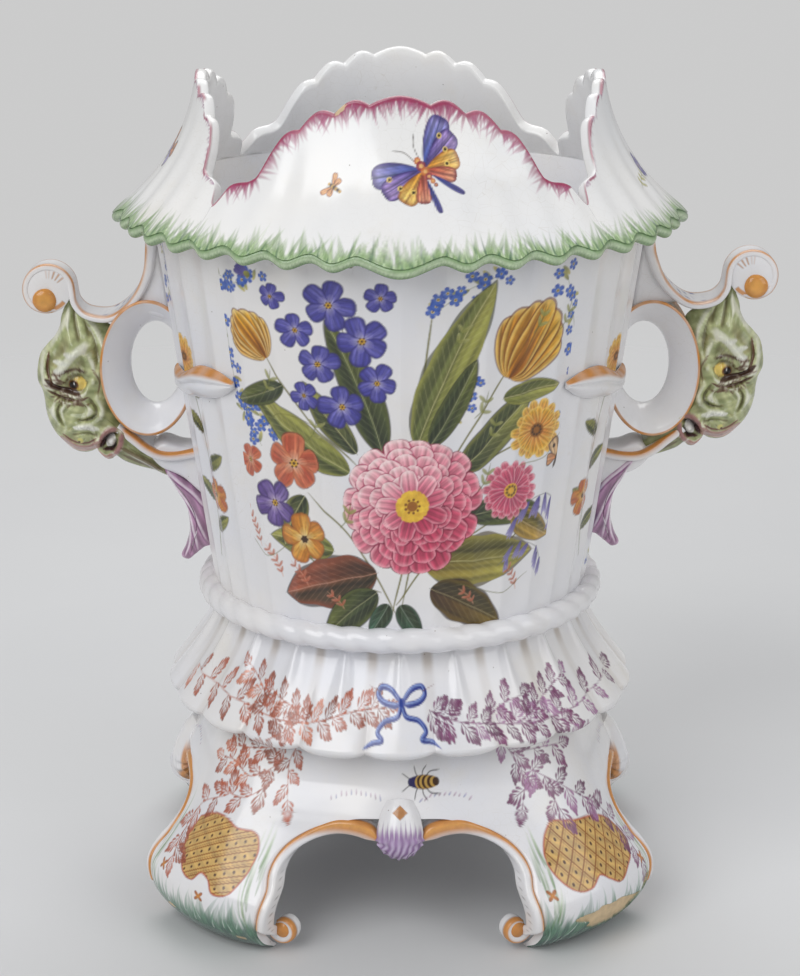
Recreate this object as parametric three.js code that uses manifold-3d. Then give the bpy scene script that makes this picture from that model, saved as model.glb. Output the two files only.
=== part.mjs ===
import * as THREE from 'three';
import { mergeVertices } from 'three/addons/utils/BufferGeometryUtils.js';
import Module from 'manifold-3d';

const wasm = await Module();
wasm.setup();
const { Manifold, Mesh: SolidMesh } = wasm;

// Driving sizes. Millimetres and degrees; azimuth 0 is the front (-Y), 90 is the right (+X).
const JOINT_GAP = 0.3;
const SEAT_Z = 146;
const WALL = 6;
const TRIM_TOLERANCE = 0.08;

// Vase body
const VESSEL_SEAT_R = 91.7;
const VESSEL_SLOPE = 0.144;
const FOOT_R = 88.4;
const FOOT_RING_W = 13;
const BASE_RECESS = 3;
const FLOOR_THICK = 8;
const FLUTES = 36;
const FLUTE_DEPTH = 1.2;
const ROPE_R = 95;
const ROPE_TUBE_R = 6.2;
const ROPE_STRANDS = 44;
const STRAND_DEPTH = 0.9;

// Collar of four overhanging shells
const HEM_R = 137.5;
const HEM_Z = 339.5;
const BEND_R = 101;
const BEND_Z = 367.5;
const CREST_R = 97;
const CREST_Z = 407;
const SHEET = 5.5;
const NOTCH_Z = 356;
const SHOULDER_Z = 363.5;
const TIP_HALF_ANGLE = 8;
const SIDE_LOBES = 4;
const LOBE_DEPTH = 3;
const LOBE_SINK = 3;
const TIP_REACH = 6;

// Handles
const HANDLE_HALF_WIDTH = 15;
const RING_U = 123;
const RING_Z = 263.5;
const THROAT_A = 12.6;
const THROAT_B = 20.8;
const THROAT_SHIFT = 3.4;
const RIM_A = 21.2;
const RIM_B = 32;
const RING_WALL = 4.2;
const RING_TILT = 2;
const VOLUTE_HALF_WIDTH = 7.5;
const VOLUTE_U = 170.6;
const VOLUTE_Z = 300.6;
const VOLUTE_R = 13.6;
const BOSS_R = 6;
const STRAP_THICK = 4.8;
const RIGHT_LIFT = 7;

// Stand
const SKIRT_TOP_R = 90;
const SKIRT_HEM_R = 115.5;
const SKIRT_HEM_Z = 104;
const SKIRT_THICK = 6;
const SKIRT_FLUTES = 22;
const SKIRT_DEPTH = 3;
const DECK_INNER_R = 76;
const LEG_THICK = 7;
const WALL_TOP_Z = 120;
const ARCH_TOP_Z = 67.5;
const SCROLL_DEPTH = 12;
const SCROLL_BAND = 5;
const FOOT_VOLUTE_R = 8.6;
const FOOT_VOLUTE_INSET = 13;
const FOOT_VOLUTE_LIFT = 3;
const FOOT_VOLUTE_SHIFT = 2;
const DROP_THICK = 15;
const DROP_TOP_Z = 77.5;
const FRONT_DROP_Z = 46;
const SIDE_DROP_Z = 40.2;

const RAD = Math.PI / 180;

function polar(r, azimuth, z) {
  return new THREE.Vector3(r * Math.sin(azimuth * RAD), -r * Math.cos(azimuth * RAD), z);
}

// Smooth value at x through a short table of [x, value] pairs sorted by x.
function along(table, x) {
  const last = table.length - 1;
  if (x <= table[0][0]) return table[0][1];
  if (x >= table[last][0]) return table[last][1];
  let i = 0;
  while (table[i + 1][0] < x) i += 1;
  const slope = (k) => {
    const a = table[Math.max(k - 1, 0)];
    const b = table[Math.min(k + 1, last)];
    return (b[1] - a[1]) / (b[0] - a[0]);
  };
  const [x0, y0] = table[i];
  const [x1, y1] = table[i + 1];
  const h = x1 - x0;
  const t = (x - x0) / h;
  const t2 = t * t;
  const t3 = t2 * t;
  return (2 * t3 - 3 * t2 + 1) * y0 + (t3 - 2 * t2 + t) * h * slope(i)
    + (3 * t2 - 2 * t3) * y1 + (t3 - t2) * h * slope(i + 1);
}

// Collects the faces of one closed body.
class Skin {
  constructor() {
    this.flat = [];
  }

  tri(a, b, c) {
    const tiny = 1e-5;
    if (a.distanceTo(b) < tiny || b.distanceTo(c) < tiny || c.distanceTo(a) < tiny) return;
    this.flat.push(a.x, a.y, a.z, b.x, b.y, b.z, c.x, c.y, c.z);
  }

  quad(a, b, c, d) {
    this.tri(a, b, c);
    this.tri(a, c, d);
  }

  band(lower, upper, closed) {
    const n = lower.length;
    const steps = closed ? n : n - 1;
    for (let i = 0; i < steps; i += 1) {
      const k = (i + 1) % n;
      this.quad(lower[i], lower[k], upper[k], upper[i]);
    }
  }

  fan(row, flip) {
    const centre = new THREE.Vector3();
    row.forEach((p) => centre.add(p));
    centre.divideScalar(row.length);
    row.forEach((p, i) => {
      const q = row[(i + 1) % row.length];
      if (flip) this.tri(centre, q, p);
      else this.tri(centre, p, q);
    });
  }

  geometry() {
    const f = this.flat;
    let volume = 0;
    for (let i = 0; i < f.length; i += 9) {
      volume += f[i] * (f[i + 4] * f[i + 8] - f[i + 5] * f[i + 7])
        + f[i + 1] * (f[i + 5] * f[i + 6] - f[i + 3] * f[i + 8])
        + f[i + 2] * (f[i + 3] * f[i + 7] - f[i + 4] * f[i + 6]);
    }
    const out = new Float32Array(f);
    if (volume < 0) {
      for (let i = 0; i < out.length; i += 9) {
        for (let k = 0; k < 3; k += 1) {
          const keep = out[i + 3 + k];
          out[i + 3 + k] = out[i + 6 + k];
          out[i + 6 + k] = keep;
        }
      }
    }
    const geometry = new THREE.BufferGeometry();
    geometry.setAttribute('position', new THREE.BufferAttribute(out, 3));
    return mergeVertices(geometry, 1e-4);
  }
}

// Body of revolution; shape(r, z, azimuth, row) may press flutes or strands into it.
function revolve(profile, count, shape, closed) {
  const rows = profile.map(([r, z], row) => {
    const ring = [];
    for (let i = 0; i < count; i += 1) {
      const azimuth = (360 * i) / count;
      ring.push(polar(r > 0 ? shape(r, z, azimuth, row) : 0, azimuth, z));
    }
    return ring;
  });
  const skin = new Skin();
  for (let j = 0; j + 1 < rows.length; j += 1) skin.band(rows[j], rows[j + 1], true);
  if (closed) skin.band(rows[rows.length - 1], rows[0], true);
  return skin.geometry();
}

// Sheet between two grids of the same size, closed round its four borders.
function sheet(outer, inner) {
  const skin = new Skin();
  const last = outer.length - 1;
  const end = outer[0].length - 1;
  for (let i = 0; i < last; i += 1) {
    for (let j = 0; j < end; j += 1) {
      skin.quad(outer[i][j], outer[i][j + 1], outer[i + 1][j + 1], outer[i + 1][j]);
      skin.quad(inner[i][j], inner[i + 1][j], inner[i + 1][j + 1], inner[i][j + 1]);
    }
    skin.quad(outer[i][0], outer[i + 1][0], inner[i + 1][0], inner[i][0]);
    skin.quad(outer[i + 1][end], outer[i][end], inner[i][end], inner[i + 1][end]);
  }
  for (let j = 0; j < end; j += 1) {
    skin.quad(outer[0][j + 1], outer[0][j], inner[0][j], inner[0][j + 1]);
    skin.quad(outer[last][j], outer[last][j + 1], inner[last][j + 1], inner[last][j]);
  }
  return skin.geometry();
}

function loft(sections) {
  const skin = new Skin();
  for (let i = 0; i + 1 < sections.length; i += 1) skin.band(sections[i], sections[i + 1], true);
  skin.fan(sections[0], true);
  skin.fan(sections[sections.length - 1], false);
  return skin.geometry();
}

function solid(geometry) {
  const copy = geometry.clone();
  copy.deleteAttribute('normal');
  copy.deleteAttribute('uv');
  const merged = mergeVertices(copy, 1e-4);
  const vertProperties = new Float32Array(merged.attributes.position.array);
  const triVerts = new Uint32Array(merged.index.array);
  return new Manifold(new SolidMesh({ numProp: 3, vertProperties, triVerts }));
}

function geometryOf(body) {
  const mesh = body.getMesh();
  const geometry = new THREE.BufferGeometry();
  geometry.setAttribute('position', new THREE.BufferAttribute(mesh.vertProperties.slice(), 3));
  geometry.setIndex(new THREE.BufferAttribute(mesh.triVerts.slice(), 1));
  return mergeVertices(geometry, 1e-3);
}

function cut(geometry, ...tools) {
  const trimmed = tools.reduce((body, tool) => body.subtract(solid(tool)), solid(geometry));
  return geometryOf(trimmed.simplify(TRIM_TOLERANCE));
}

function joined(geometry, ...others) {
  return geometryOf(others.reduce((body, other) => body.add(solid(other)), solid(geometry)));
}

function turned(geometry, azimuth) {
  return geometry.clone().rotateZ(azimuth * RAD);
}

function mirrored(geometry, axis) {
  const copy = geometry.clone();
  copy.scale(axis === 'x' ? -1 : 1, axis === 'y' ? -1 : 1, 1);
  const index = copy.index.array;
  for (let i = 0; i < index.length; i += 3) {
    const keep = index[i];
    index[i] = index[i + 1];
    index[i + 1] = keep;
  }
  return copy;
}

// Evenly spaced points on a smooth curve through [u, z] points.
function curve(points, count) {
  return new THREE.SplineCurve(points.map(([u, z]) => new THREE.Vector2(u, z))).getPoints(count);
}

// Strap lying along a path in the XZ plane, with its width across Y.
function strap(path, halfWidthAt, thicknessAt, grow) {
  const last = path.length - 1;
  const sections = path.map((p, i) => {
    const ahead = path[Math.min(i + 1, last)];
    const behind = path[Math.max(i - 1, 0)];
    const dir = new THREE.Vector2().subVectors(ahead, behind).normalize();
    const w = halfWidthAt(i / last) + grow;
    const t = thicknessAt(i / last) / 2 + grow;
    const edge = Math.min(t * 0.7, 1.6);
    const corners = [[w, t - edge], [w - edge, t], [edge - w, t], [-w, t - edge],
      [-w, edge - t], [edge - w, -t], [w - edge, -t], [w, edge - t]];
    return corners.map(([y, n]) => new THREE.Vector3(p.x - dir.y * n, y, p.y + dir.x * n));
  });
  return loft(sections);
}

// Vessel

function vesselRadius(z) {
  return VESSEL_SEAT_R + VESSEL_SLOPE * (z - SEAT_Z);
}

function collarPoint(t) {
  const a = (1 - t) * (1 - t);
  const b = 2 * t * (1 - t);
  const c = t * t;
  return [a * HEM_R + b * BEND_R + c * CREST_R, a * HEM_Z + b * BEND_Z + c * CREST_Z];
}

// Point at a given depth under the outer face of the collar sheet.
function collarUnder(t, depth) {
  const dr = (1 - t) * (BEND_R - HEM_R) + t * (CREST_R - BEND_R);
  const dz = (1 - t) * (BEND_Z - HEM_Z) + t * (CREST_Z - BEND_Z);
  const length = Math.hypot(dr, dz);
  const [r, z] = collarPoint(t);
  return [r - (depth * dz) / length, z + (depth * dr) / length];
}

// Where the underside of the collar meets a wall whose radius is inset from the vessel face.
function rimPoint(inset) {
  let low = 0;
  let high = 1;
  for (let i = 0; i < 40; i += 1) {
    const mid = (low + high) / 2;
    const [r, z] = collarUnder(mid, SHEET + JOINT_GAP);
    if (r > vesselRadius(z) - inset) low = mid;
    else high = mid;
  }
  return collarUnder(low, SHEET + JOINT_GAP);
}

function vesselGeometry() {
  const base = SEAT_Z + JOINT_GAP;
  const floor = base + FLOOR_THICK;
  const shoulder = base + 2 * ROPE_TUBE_R + 1;
  const fluted = 5;
  const profile = [
    [0, base + BASE_RECESS],
    [FOOT_R - FOOT_RING_W - 2, base + BASE_RECESS],
    [FOOT_R - FOOT_RING_W, base],
    [FOOT_R, base],
    [FOOT_R, shoulder],
    [vesselRadius(shoulder + 1), shoulder + 1],
    rimPoint(0),
    rimPoint(WALL),
    [vesselRadius(floor + 9) - WALL, floor + 9],
    [FOOT_R - WALL - 6, floor],
    [0, floor],
  ];
  const shape = (r, z, azimuth, row) => {
    const pressed = row >= fluted && row <= fluted + 1;
    return pressed ? r - FLUTE_DEPTH * Math.abs(Math.sin((FLUTES * azimuth * RAD) / 2)) : r;
  };
  return revolve(profile, 2 * FLUTES, shape, false);
}

// The solid cone of the wall, grown by the joint gap; pieces luted to the wall are trimmed by it.
function wallEnvelope() {
  const low = SEAT_Z - 1;
  const high = CREST_Z;
  const profile = [
    [0, low],
    [vesselRadius(low) + JOINT_GAP, low],
    [vesselRadius(high) + JOINT_GAP, high],
    [0, high],
  ];
  return revolve(profile, 144, (r) => r, false);
}

function ropeGeometry() {
  const sides = 5;
  const centreZ = SEAT_Z + JOINT_GAP + ROPE_TUBE_R * Math.sin((0.3 * 360) * RAD);
  const rows = [];
  const count = 2 * ROPE_STRANDS;
  for (let i = 0; i < count; i += 1) {
    const azimuth = (360 * i) / count;
    const ring = [];
    for (let k = 0; k < sides; k += 1) {
      const around = (2 * Math.PI * (k + 0.5)) / sides;
      const phase = (ROPE_STRANDS * azimuth * RAD) / 2 + around;
      const tube = ROPE_TUBE_R - STRAND_DEPTH * Math.abs(Math.sin(phase));
      ring.push(polar(ROPE_R + tube * Math.cos(around), azimuth, centreZ + tube * Math.sin(around)));
    }
    rows.push(ring);
  }
  const skin = new Skin();
  rows.forEach((row, i) => skin.band(row, rows[(i + 1) % count], true));
  return skin.geometry();
}

// Collar

// Lobe number at an azimuth inside a quadrant: whole numbers are lobe centres, halves are creases.
function lobeNumber(azimuth) {
  const a = Math.abs(azimuth);
  const sideLobe = (45 - TIP_HALF_ANGLE) / SIDE_LOBES;
  return a < TIP_HALF_ANGLE ? a / (2 * TIP_HALF_ANGLE) : 0.5 + (a - TIP_HALF_ANGLE) / sideLobe;
}

function azimuthOfLobe(number) {
  const a = Math.abs(number);
  const sideLobe = (45 - TIP_HALF_ANGLE) / SIDE_LOBES;
  const azimuth = a < 0.5 ? a * 2 * TIP_HALF_ANGLE : TIP_HALF_ANGLE + (a - 0.5) * sideLobe;
  return Math.sign(number) * azimuth;
}

// Share of the rise from the shoulder to the crest, by azimuth from the middle of a shell.
const CREST_RISE = [[0, 1], [8, 0.985], [16, 0.9], [23, 0.79], [30, 0.58], [33.5, 0.38], [35.5, 0.2],
  [38, 0.07], [42.5, 0]];

function crestZ(azimuth) {
  const lobe = Math.abs(Math.cos(Math.PI * lobeNumber(azimuth)));
  const rise = (CREST_Z - 1.3 - SHOULDER_Z) * along(CREST_RISE, Math.abs(azimuth));
  const intoNotch = Math.max(0, (Math.abs(azimuth) - 42.5) / 2.5);
  const edge = SHOULDER_Z + rise + 2.6 * (lobe - 0.5) * (1 - intoNotch);
  return edge + (NOTCH_Z - SHOULDER_Z) * intoNotch;
}

function collarGeometry() {
  const bend = HEM_Z - 2 * BEND_Z + CREST_Z;
  const rise = 2 * (BEND_Z - HEM_Z);
  const parameterAt = (z) => (Math.sqrt(rise * rise + 4 * bend * (z - HEM_Z)) - rise) / (2 * bend);
  const rowCount = 3;
  const perLobe = 4;
  const half = (SIDE_LOBES + 0.5) * perLobe;
  const outer = [];
  const inner = [];
  for (let j = 0; j <= rowCount; j += 1) {
    const outerRow = [];
    const innerRow = [];
    for (let i = -half; i <= half; i += 1) {
      const nominal = azimuthOfLobe(i / perLobe);
      const lobe = Math.abs(Math.cos((Math.PI * i) / perLobe));
      const tip = Math.max(0, 1 - Math.abs(nominal) / TIP_HALF_ANGLE);
      const t = (parameterAt(crestZ(nominal)) * j) / rowCount;
      const seam = nominal * (1 - JOINT_GAP / 2 / (45 * RAD * HEM_R));
      const hemFade = Math.max(0, 1 - t / 0.2);
      const push = (fade) => LOBE_DEPTH * (lobe - 0.5) * fade + TIP_REACH * tip * hemFade;
      const sink = -LOBE_SINK * lobe * hemFade - 2.5 * tip * hemFade;
      const [r, z] = collarPoint(t);
      const [ur, uz] = collarUnder(t, SHEET);
      outerRow.push(polar(r + push((1 - t) * (1 - t)), seam, z + sink));
      innerRow.push(polar(ur + push(hemFade), seam, uz + sink));
    }
    outer.push(outerRow);
    inner.push(innerRow);
  }
  return sheet(outer, inner);
}

// Handles, built for the right side; u is the distance from the axis of the vase.

function ringSemiAxes(y) {
  const flare = (y / HANDLE_HALF_WIDTH) ** 2;
  return [THROAT_A + (RIM_A - THROAT_A) * flare, THROAT_B + (RIM_B - THROAT_B) * flare];
}

// With hull set, the hole is filled so that the result can trim its neighbours.
function ringGeometry(hull, grow) {
  const steps = 4;
  const inner = [];
  const outer = [];
  for (let k = -steps / 2; k <= steps / 2; k += 1) {
    const y = (2 * HANDLE_HALF_WIDTH * k) / steps;
    const [a, b] = ringSemiAxes(y);
    const waist = 1 - (y / HANDLE_HALF_WIDTH) ** 2;
    const wall = RING_WALL * waist + 0.4 + grow;
    inner.push([a, b, y, THROAT_SHIFT * waist]);
    outer.push([a + wall, b + wall, y * 0.8, THROAT_SHIFT * waist]);
  }
  const stretch = (HANDLE_HALF_WIDTH + grow) / HANDLE_HALF_WIDTH;
  const first = [RIM_A + grow, RIM_B + grow, -HANDLE_HALF_WIDTH * stretch, 0];
  const final = [RIM_A + grow, RIM_B + grow, HANDLE_HALF_WIDTH * stretch, 0];
  const profile = hull ? [first, ...outer, final] : [...inner, ...outer.reverse()];
  const count = 20;
  const rows = profile.map(([a, b, y, shift]) => {
    const row = [];
    for (let i = 0; i < count; i += 1) {
      const angle = (2 * Math.PI * i) / count;
      row.push(new THREE.Vector3(a * Math.cos(angle) - shift, y, b * Math.sin(angle)));
    }
    return row;
  });
  const skin = new Skin();
  for (let j = 0; j + 1 < rows.length; j += 1) skin.band(rows[j], rows[j + 1], true);
  if (hull) {
    skin.fan(rows[0], true);
    skin.fan(rows[rows.length - 1], false);
  } else {
    skin.band(rows[rows.length - 1], rows[0], true);
  }
  return skin.geometry().rotateY(-RING_TILT * RAD).translate(RING_U, 0, RING_Z);
}

// The upper scroll leaves the wall, dips, climbs and curls outwards over its own boss.
function scrollPath(lift) {
  const rootZ = RING_Z + 67;
  const rootU = vesselRadius(rootZ) + 0.8;
  const coil = VOLUTE_R - STRAP_THICK / 2;
  const inside = VOLUTE_U - coil;
  const raised = (z) => z + lift * Math.min(1, (rootZ - z) / 20);
  const lead = curve([
    [rootU, rootZ],
    [rootU + 0.8, rootZ - 11],
    [rootU + 2.2, rootZ - 20],
    [rootU + 6, rootZ - 29],
    [rootU + 11.5, VOLUTE_Z - 6.5],
    [rootU + 18.5, VOLUTE_Z - 11.8],
    [rootU + 25.5, VOLUTE_Z - 13.6],
    [inside - 6, VOLUTE_Z - 11.8],
    [inside - 1.2, VOLUTE_Z - 6.5],
    [inside, VOLUTE_Z],
  ].map(([u, z]) => [u, raised(z)]), 12);
  const turns = 9;
  for (let i = 1; i <= turns; i += 1) {
    const f = i / turns;
    const angle = Math.PI * (1 - 1.62 * f);
    const radius = coil - 1.2 * Math.max(0, f - 0.9) * 10;
    lead.push(new THREE.Vector2(
      VOLUTE_U + radius * Math.cos(angle),
      VOLUTE_Z + lift + radius * Math.sin(angle),
    ));
  }
  return lead;
}

function scrollStrap(lift, grow) {
  const narrowing = HANDLE_HALF_WIDTH - VOLUTE_HALF_WIDTH;
  const width = (f) => HANDLE_HALF_WIDTH - narrowing * THREE.MathUtils.smoothstep(f, 0.3, 0.62);
  const thickness = (f) => STRAP_THICK + 3.6 * Math.max(0, 1 - f / 0.3);
  return strap(scrollPath(lift), width, thickness, grow);
}

// Round bar across the handle, with a chamfer at each end.
function bar(radius, reach, count, u, z) {
  const profile = [
    [0, -reach],
    [radius - 1.7, -reach],
    [radius, 1.8 - reach],
    [radius, reach - 1.8],
    [radius - 1.7, reach],
    [0, reach],
  ];
  return revolve(profile, count, (r) => r, false).rotateX(90 * RAD).translate(u, 0, z);
}

function voluteCore(lift, grow) {
  const radius = VOLUTE_R - STRAP_THICK + 0.7 + grow;
  return bar(radius, VOLUTE_HALF_WIDTH - 1.4 + grow, 14, VOLUTE_U, VOLUTE_Z + lift);
}

function bossGeometry(lift) {
  return bar(BOSS_R, VOLUTE_HALF_WIDTH + 1.6, 10, VOLUTE_U + 1, VOLUTE_Z + lift - 4.4);
}

// Rounded lump with semi-axes a, b, c about a centre.
function lump(a, b, c, centre) {
  const profile = [];
  const steps = 4;
  for (let i = 0; i <= steps; i += 1) {
    const angle = (Math.PI * i) / steps - Math.PI / 2;
    profile.push([i === 0 || i === steps ? 0 : Math.cos(angle), Math.sin(angle)]);
  }
  const ball = revolve(profile, 6, (r) => r, false);
  return ball.scale(a, b, c).translate(centre[0], centre[1], centre[2]);
}

const MASK_CENTRE = [155, 247];

function maskBlob(grow) {
  const outline = curve([
    [160, 298], [164.5, 287], [171, 277], [177.5, 267], [179, 256], [175.5, 245], [174.5, 237],
    [169, 227], [161, 219.5], [152, 218], [143, 215.5], [134, 212], [124, 209.3], [114, 205.5],
    [116, 214], [128, 226], [138, 244], [137, 264], [140, 280], [150, 285], [155, 289], [160, 298],
  ], 21).slice(0, -1);
  const [cu, cz] = MASK_CENTRE;
  const rows = [];
  const levels = 4;
  for (let k = 0; k <= levels; k += 1) {
    const angle = (Math.PI * (k + 0.6)) / (levels + 1.2) - Math.PI / 2;
    const shrink = Math.cos(angle);
    rows.push(outline.map((p) => {
      const reach = Math.hypot(p.x - cu, p.y - cz);
      const s = shrink * (1 + grow / reach);
      const y = Math.sin(angle) * (HANDLE_HALF_WIDTH + 1 + grow);
      return new THREE.Vector3(cu + (p.x - cu) * s, y, cz + (p.y - cz) * s);
    }));
  }
  return loft(rows);
}

function maskGeometry() {
  const parts = [];
  for (const side of [-1, 1]) {
    parts.push(lump(4.5, 3, 4.5, [162, side * 14.2, 250.5]));
    parts.push(lump(9, 3.5, 3.2, [164, side * 13.2, 258.5]));
    parts.push(lump(6, 3.5, 4, [158, side * 11.5, 226]));
  }
  return joined(maskBlob(0), ...parts);
}

function lowerScroll(grow) {
  const path = curve([[136, 238], [130, 229.5], [121, 225], [111, 223.5], [99, 225.5]], 6);
  return strap(path, (f) => HANDLE_HALF_WIDTH * (0.92 - 0.1 * f), () => 10, grow);
}

function leafDrop() {
  const lean = (z, out) => [vesselRadius(z) + out, z];
  const path = curve([
    lean(207, 11), lean(199, 6.5), lean(189, 4), lean(179, 4), lean(169, 7), lean(162, 12.5),
  ], 9);
  const width = (f) => 4 + 13 * Math.sin(Math.PI * Math.min(1, 0.28 + f * 0.68)) - 1.5 * f;
  const thickness = (f) => 9.5 - 6.5 * f;
  return strap(path, width, thickness, 0);
}

// Leaf lying against the wall from the rim of the finger ring towards the front.
function claspGeometry() {
  const start = 80;
  const finish = 44;
  const steps = 8;
  const centreLine = [[44, 271.5], [50, 270], [58, 268], [70, 262.5], [80, 262]];
  const halfHeight = [[44, 1.6], [50, 6.5], [58, 8], [70, 5.5], [80, 5.5]];
  const outer = [];
  const inner = [];
  for (let i = 0; i <= steps; i += 1) {
    const azimuth = start + ((finish - start) * i) / steps;
    const middle = along(centreLine, azimuth);
    const half = along(halfHeight, azimuth);
    const lift = 1.2 + 4.5 * Math.sin((Math.PI * (i + 1)) / (steps + 2));
    const outerRow = [];
    const innerRow = [];
    for (let j = -2; j <= 2; j += 1) {
      const v = j / 2;
      const z = middle + v * half;
      const face = vesselRadius(z) + JOINT_GAP;
      outerRow.push(polar(face + 0.8 + lift * (1 - v * v), azimuth, z));
      innerRow.push(polar(face, azimuth, z));
    }
    outer.push(outerRow);
    inner.push(innerRow);
  }
  return sheet(outer, inner);
}

// Stand

function skirtInner(z) {
  const drop = (SEAT_Z - z) / (SEAT_Z - SKIRT_HEM_Z);
  return SKIRT_TOP_R - SKIRT_THICK + (SKIRT_HEM_R - SKIRT_TOP_R) * drop ** 1.25;
}

function skirtGeometry() {
  const rows = [[DECK_INNER_R, SEAT_Z, 0], [SKIRT_TOP_R, SEAT_Z, 0.5]];
  const levels = 3;
  for (let k = 1; k <= levels; k += 1) {
    const z = SEAT_Z + ((SKIRT_HEM_Z - SEAT_Z) * k) / levels;
    rows.push([skirtInner(z) + SKIRT_THICK, z, k / levels]);
  }
  rows.push([SKIRT_HEM_R - 1.6, SKIRT_HEM_Z - 4.2, 1]);
  rows.push([skirtInner(SKIRT_HEM_Z), SKIRT_HEM_Z - 1, 0]);
  for (const z of [WALL_TOP_Z, SEAT_Z - SKIRT_THICK]) rows.push([skirtInner(z), z, 0]);
  rows.push([DECK_INNER_R, SEAT_Z - SKIRT_THICK, 0]);
  const shape = (r, z, azimuth, row) => {
    const lobe = Math.abs(Math.cos((SKIRT_FLUTES * azimuth * RAD) / 2));
    return r + SKIRT_DEPTH * rows[row][2] * (lobe - 0.6);
  };
  return revolve(rows.map(([r, z]) => [r, z]), 3 * SKIRT_FLUTES, shape, true);
}

// Plan radius of the wall at a side centre and on a leg, by height.
const SIDE_RADII = [[40, 107], [52, 109], [62, 109.5], [67, 108], [72, 105.8], [76, 103.8], [81, 101],
  [92, 98.5], [104, 96.5]];
const LEG_RADII = [[0, 129], [4, 134.5], [12, 142], [19, 145], [27, 146], [33, 144.5], [43, 138],
  [52, 131], [62, 123.5], [70, 118.5], [81, 112], [92, 106.5], [104, 101.5]];
const LEG_NARROWING = [[0, 0.8], [27, 0.9], [43, 2.3], [52, 3.8], [62, 5.5], [75, 5]];

function wallRadius(azimuth, z) {
  const top = skirtInner(WALL_TOP_Z) - 1.5 * JOINT_GAP;
  const side = along([...SIDE_RADII, [WALL_TOP_Z, top]], z);
  const leg = along([...LEG_RADII, [WALL_TOP_Z, top]], z);
  const fromCorner = Math.abs(azimuth) > 45 ? 90 - Math.abs(azimuth) : Math.abs(azimuth);
  const blend = Math.max(0, Math.cos(2 * (45 - fromCorner) * RAD)) ** along(LEG_NARROWING, z);
  return side + (leg - side) * blend;
}

// Azimuth of the edge of a leg, counted from the middle of the arch beside it.
const ARCH_EDGE = [[0, 29.8], [10, 29.8], [24, 28.8], [34, 28.2], [41, 29], [48, 28.6], [54, 26.6],
  [59, 23], [63, 18.5], [65.8, 12.5], [67, 8], [ARCH_TOP_Z, 0]];
const LEG_ROWS = [0, 7, 16, 26, 35, 43, 51, 57, 62, 65.8, ARCH_TOP_Z, 75, 86, 100, WALL_TOP_Z];

function legGeometry(grow) {
  const columns = 7;
  const outer = [];
  const inner = [];
  for (const z of LEG_ROWS) {
    const seam = JOINT_GAP / 2 / (SKIRT_TOP_R * RAD);
    const open = z < ARCH_TOP_Z ? along(ARCH_EDGE, z) : 0;
    const edge = Math.max(open, seam) - grow / (110 * RAD);
    const outerRow = [];
    const innerRow = [];
    for (let i = 0; i <= columns; i += 1) {
      const azimuth = edge + ((90 - 2 * edge) * i) / columns;
      const r = wallRadius(Math.min(Math.max(azimuth, 0), 90), z);
      outerRow.push(polar(r + grow, azimuth, z));
      innerRow.push(polar(r - LEG_THICK - grow, azimuth, z));
    }
    outer.push(outerRow);
    inner.push(innerRow);
  }
  return sheet(outer, inner);
}

// C-scroll along one side of an arch, from beside the drop down to a volute at the foot.
function archScroll(grow) {
  const points = [];
  const inset = SCROLL_BAND / 2 + JOINT_GAP + 0.9;
  const rows = LEG_ROWS.filter((z) => z > FOOT_VOLUTE_R && z < ARCH_TOP_Z - 1).reverse();
  points.push([6.4, ARCH_TOP_Z - 8.5]);
  points.push([9, ARCH_TOP_Z - inset - 1.6]);
  rows.forEach((z, i) => {
    if (i === 0) return;
    const r = wallRadius(along(ARCH_EDGE, z), z);
    const ahead = rows[Math.max(i - 1, 0)];
    const behind = rows[Math.min(i + 1, rows.length - 1)];
    const slopeU = (along(ARCH_EDGE, ahead) - along(ARCH_EDGE, behind)) * RAD * r;
    const slopeZ = ahead - behind;
    const length = Math.hypot(slopeU, slopeZ);
    const u = along(ARCH_EDGE, z) - (inset * slopeZ) / length / (r * RAD);
    points.push([u, z + (inset * slopeU) / length]);
  });
  const path = points.map(([azimuth, z]) => {
    const r = wallRadius(azimuth, z) - SCROLL_DEPTH / 2 + 0.8;
    return { azimuth, z, r };
  });
  const foot = path[path.length - 1];
  const centreZ = FOOT_VOLUTE_R + FOOT_VOLUTE_LIFT;
  const turn = 6;
  const centreR = foot.r - FOOT_VOLUTE_INSET;
  const reach = FOOT_VOLUTE_R - SCROLL_BAND / 2;
  const centreAz = (foot.azimuth * foot.r) / centreR - FOOT_VOLUTE_SHIFT - reach / (centreR * RAD);
  for (let i = 0; i <= turn; i += 1) {
    const f = i / turn;
    const angle = f * 1.5 * Math.PI;
    const radius = reach * (1 - 0.35 * f);
    const azimuth = centreAz + (radius * Math.cos(angle)) / (centreR * RAD);
    path.push({ azimuth, z: centreZ - radius * Math.sin(angle), r: centreR });
  }
  const last = path.length - 1;
  const spots = path.map((p) => polar(p.r, p.azimuth, p.z));
  const sections = spots.map((p, i) => {
    const f = i / last;
    const dir = new THREE.Vector3().subVectors(spots[Math.min(i + 1, last)], spots[Math.max(i - 1, 0)]);
    const out = polar(1, path[i].azimuth, 0);
    dir.addScaledVector(out, -dir.dot(out)).normalize();
    const across = new THREE.Vector3().crossVectors(out, dir);
    const narrow = f < 0.12 ? 1.35 : 1 - 0.3 * Math.max(0, (f - 0.55) / 0.45);
    const band = (SCROLL_BAND / 2) * narrow + grow;
    const depth = (SCROLL_DEPTH / 2) * (1 - 0.25 * Math.max(0, (f - 0.5) / 0.5)) + grow;
    const corners = [[1, 0.35], [0.8, 1], [-1, 1], [-1, -1], [0.8, -1], [1, -0.35]];
    return corners.map(([d, b]) => p.clone().addScaledVector(out, d * depth)
      .addScaledVector(across, b * band));
  });
  return loft(sections);
}

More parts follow.
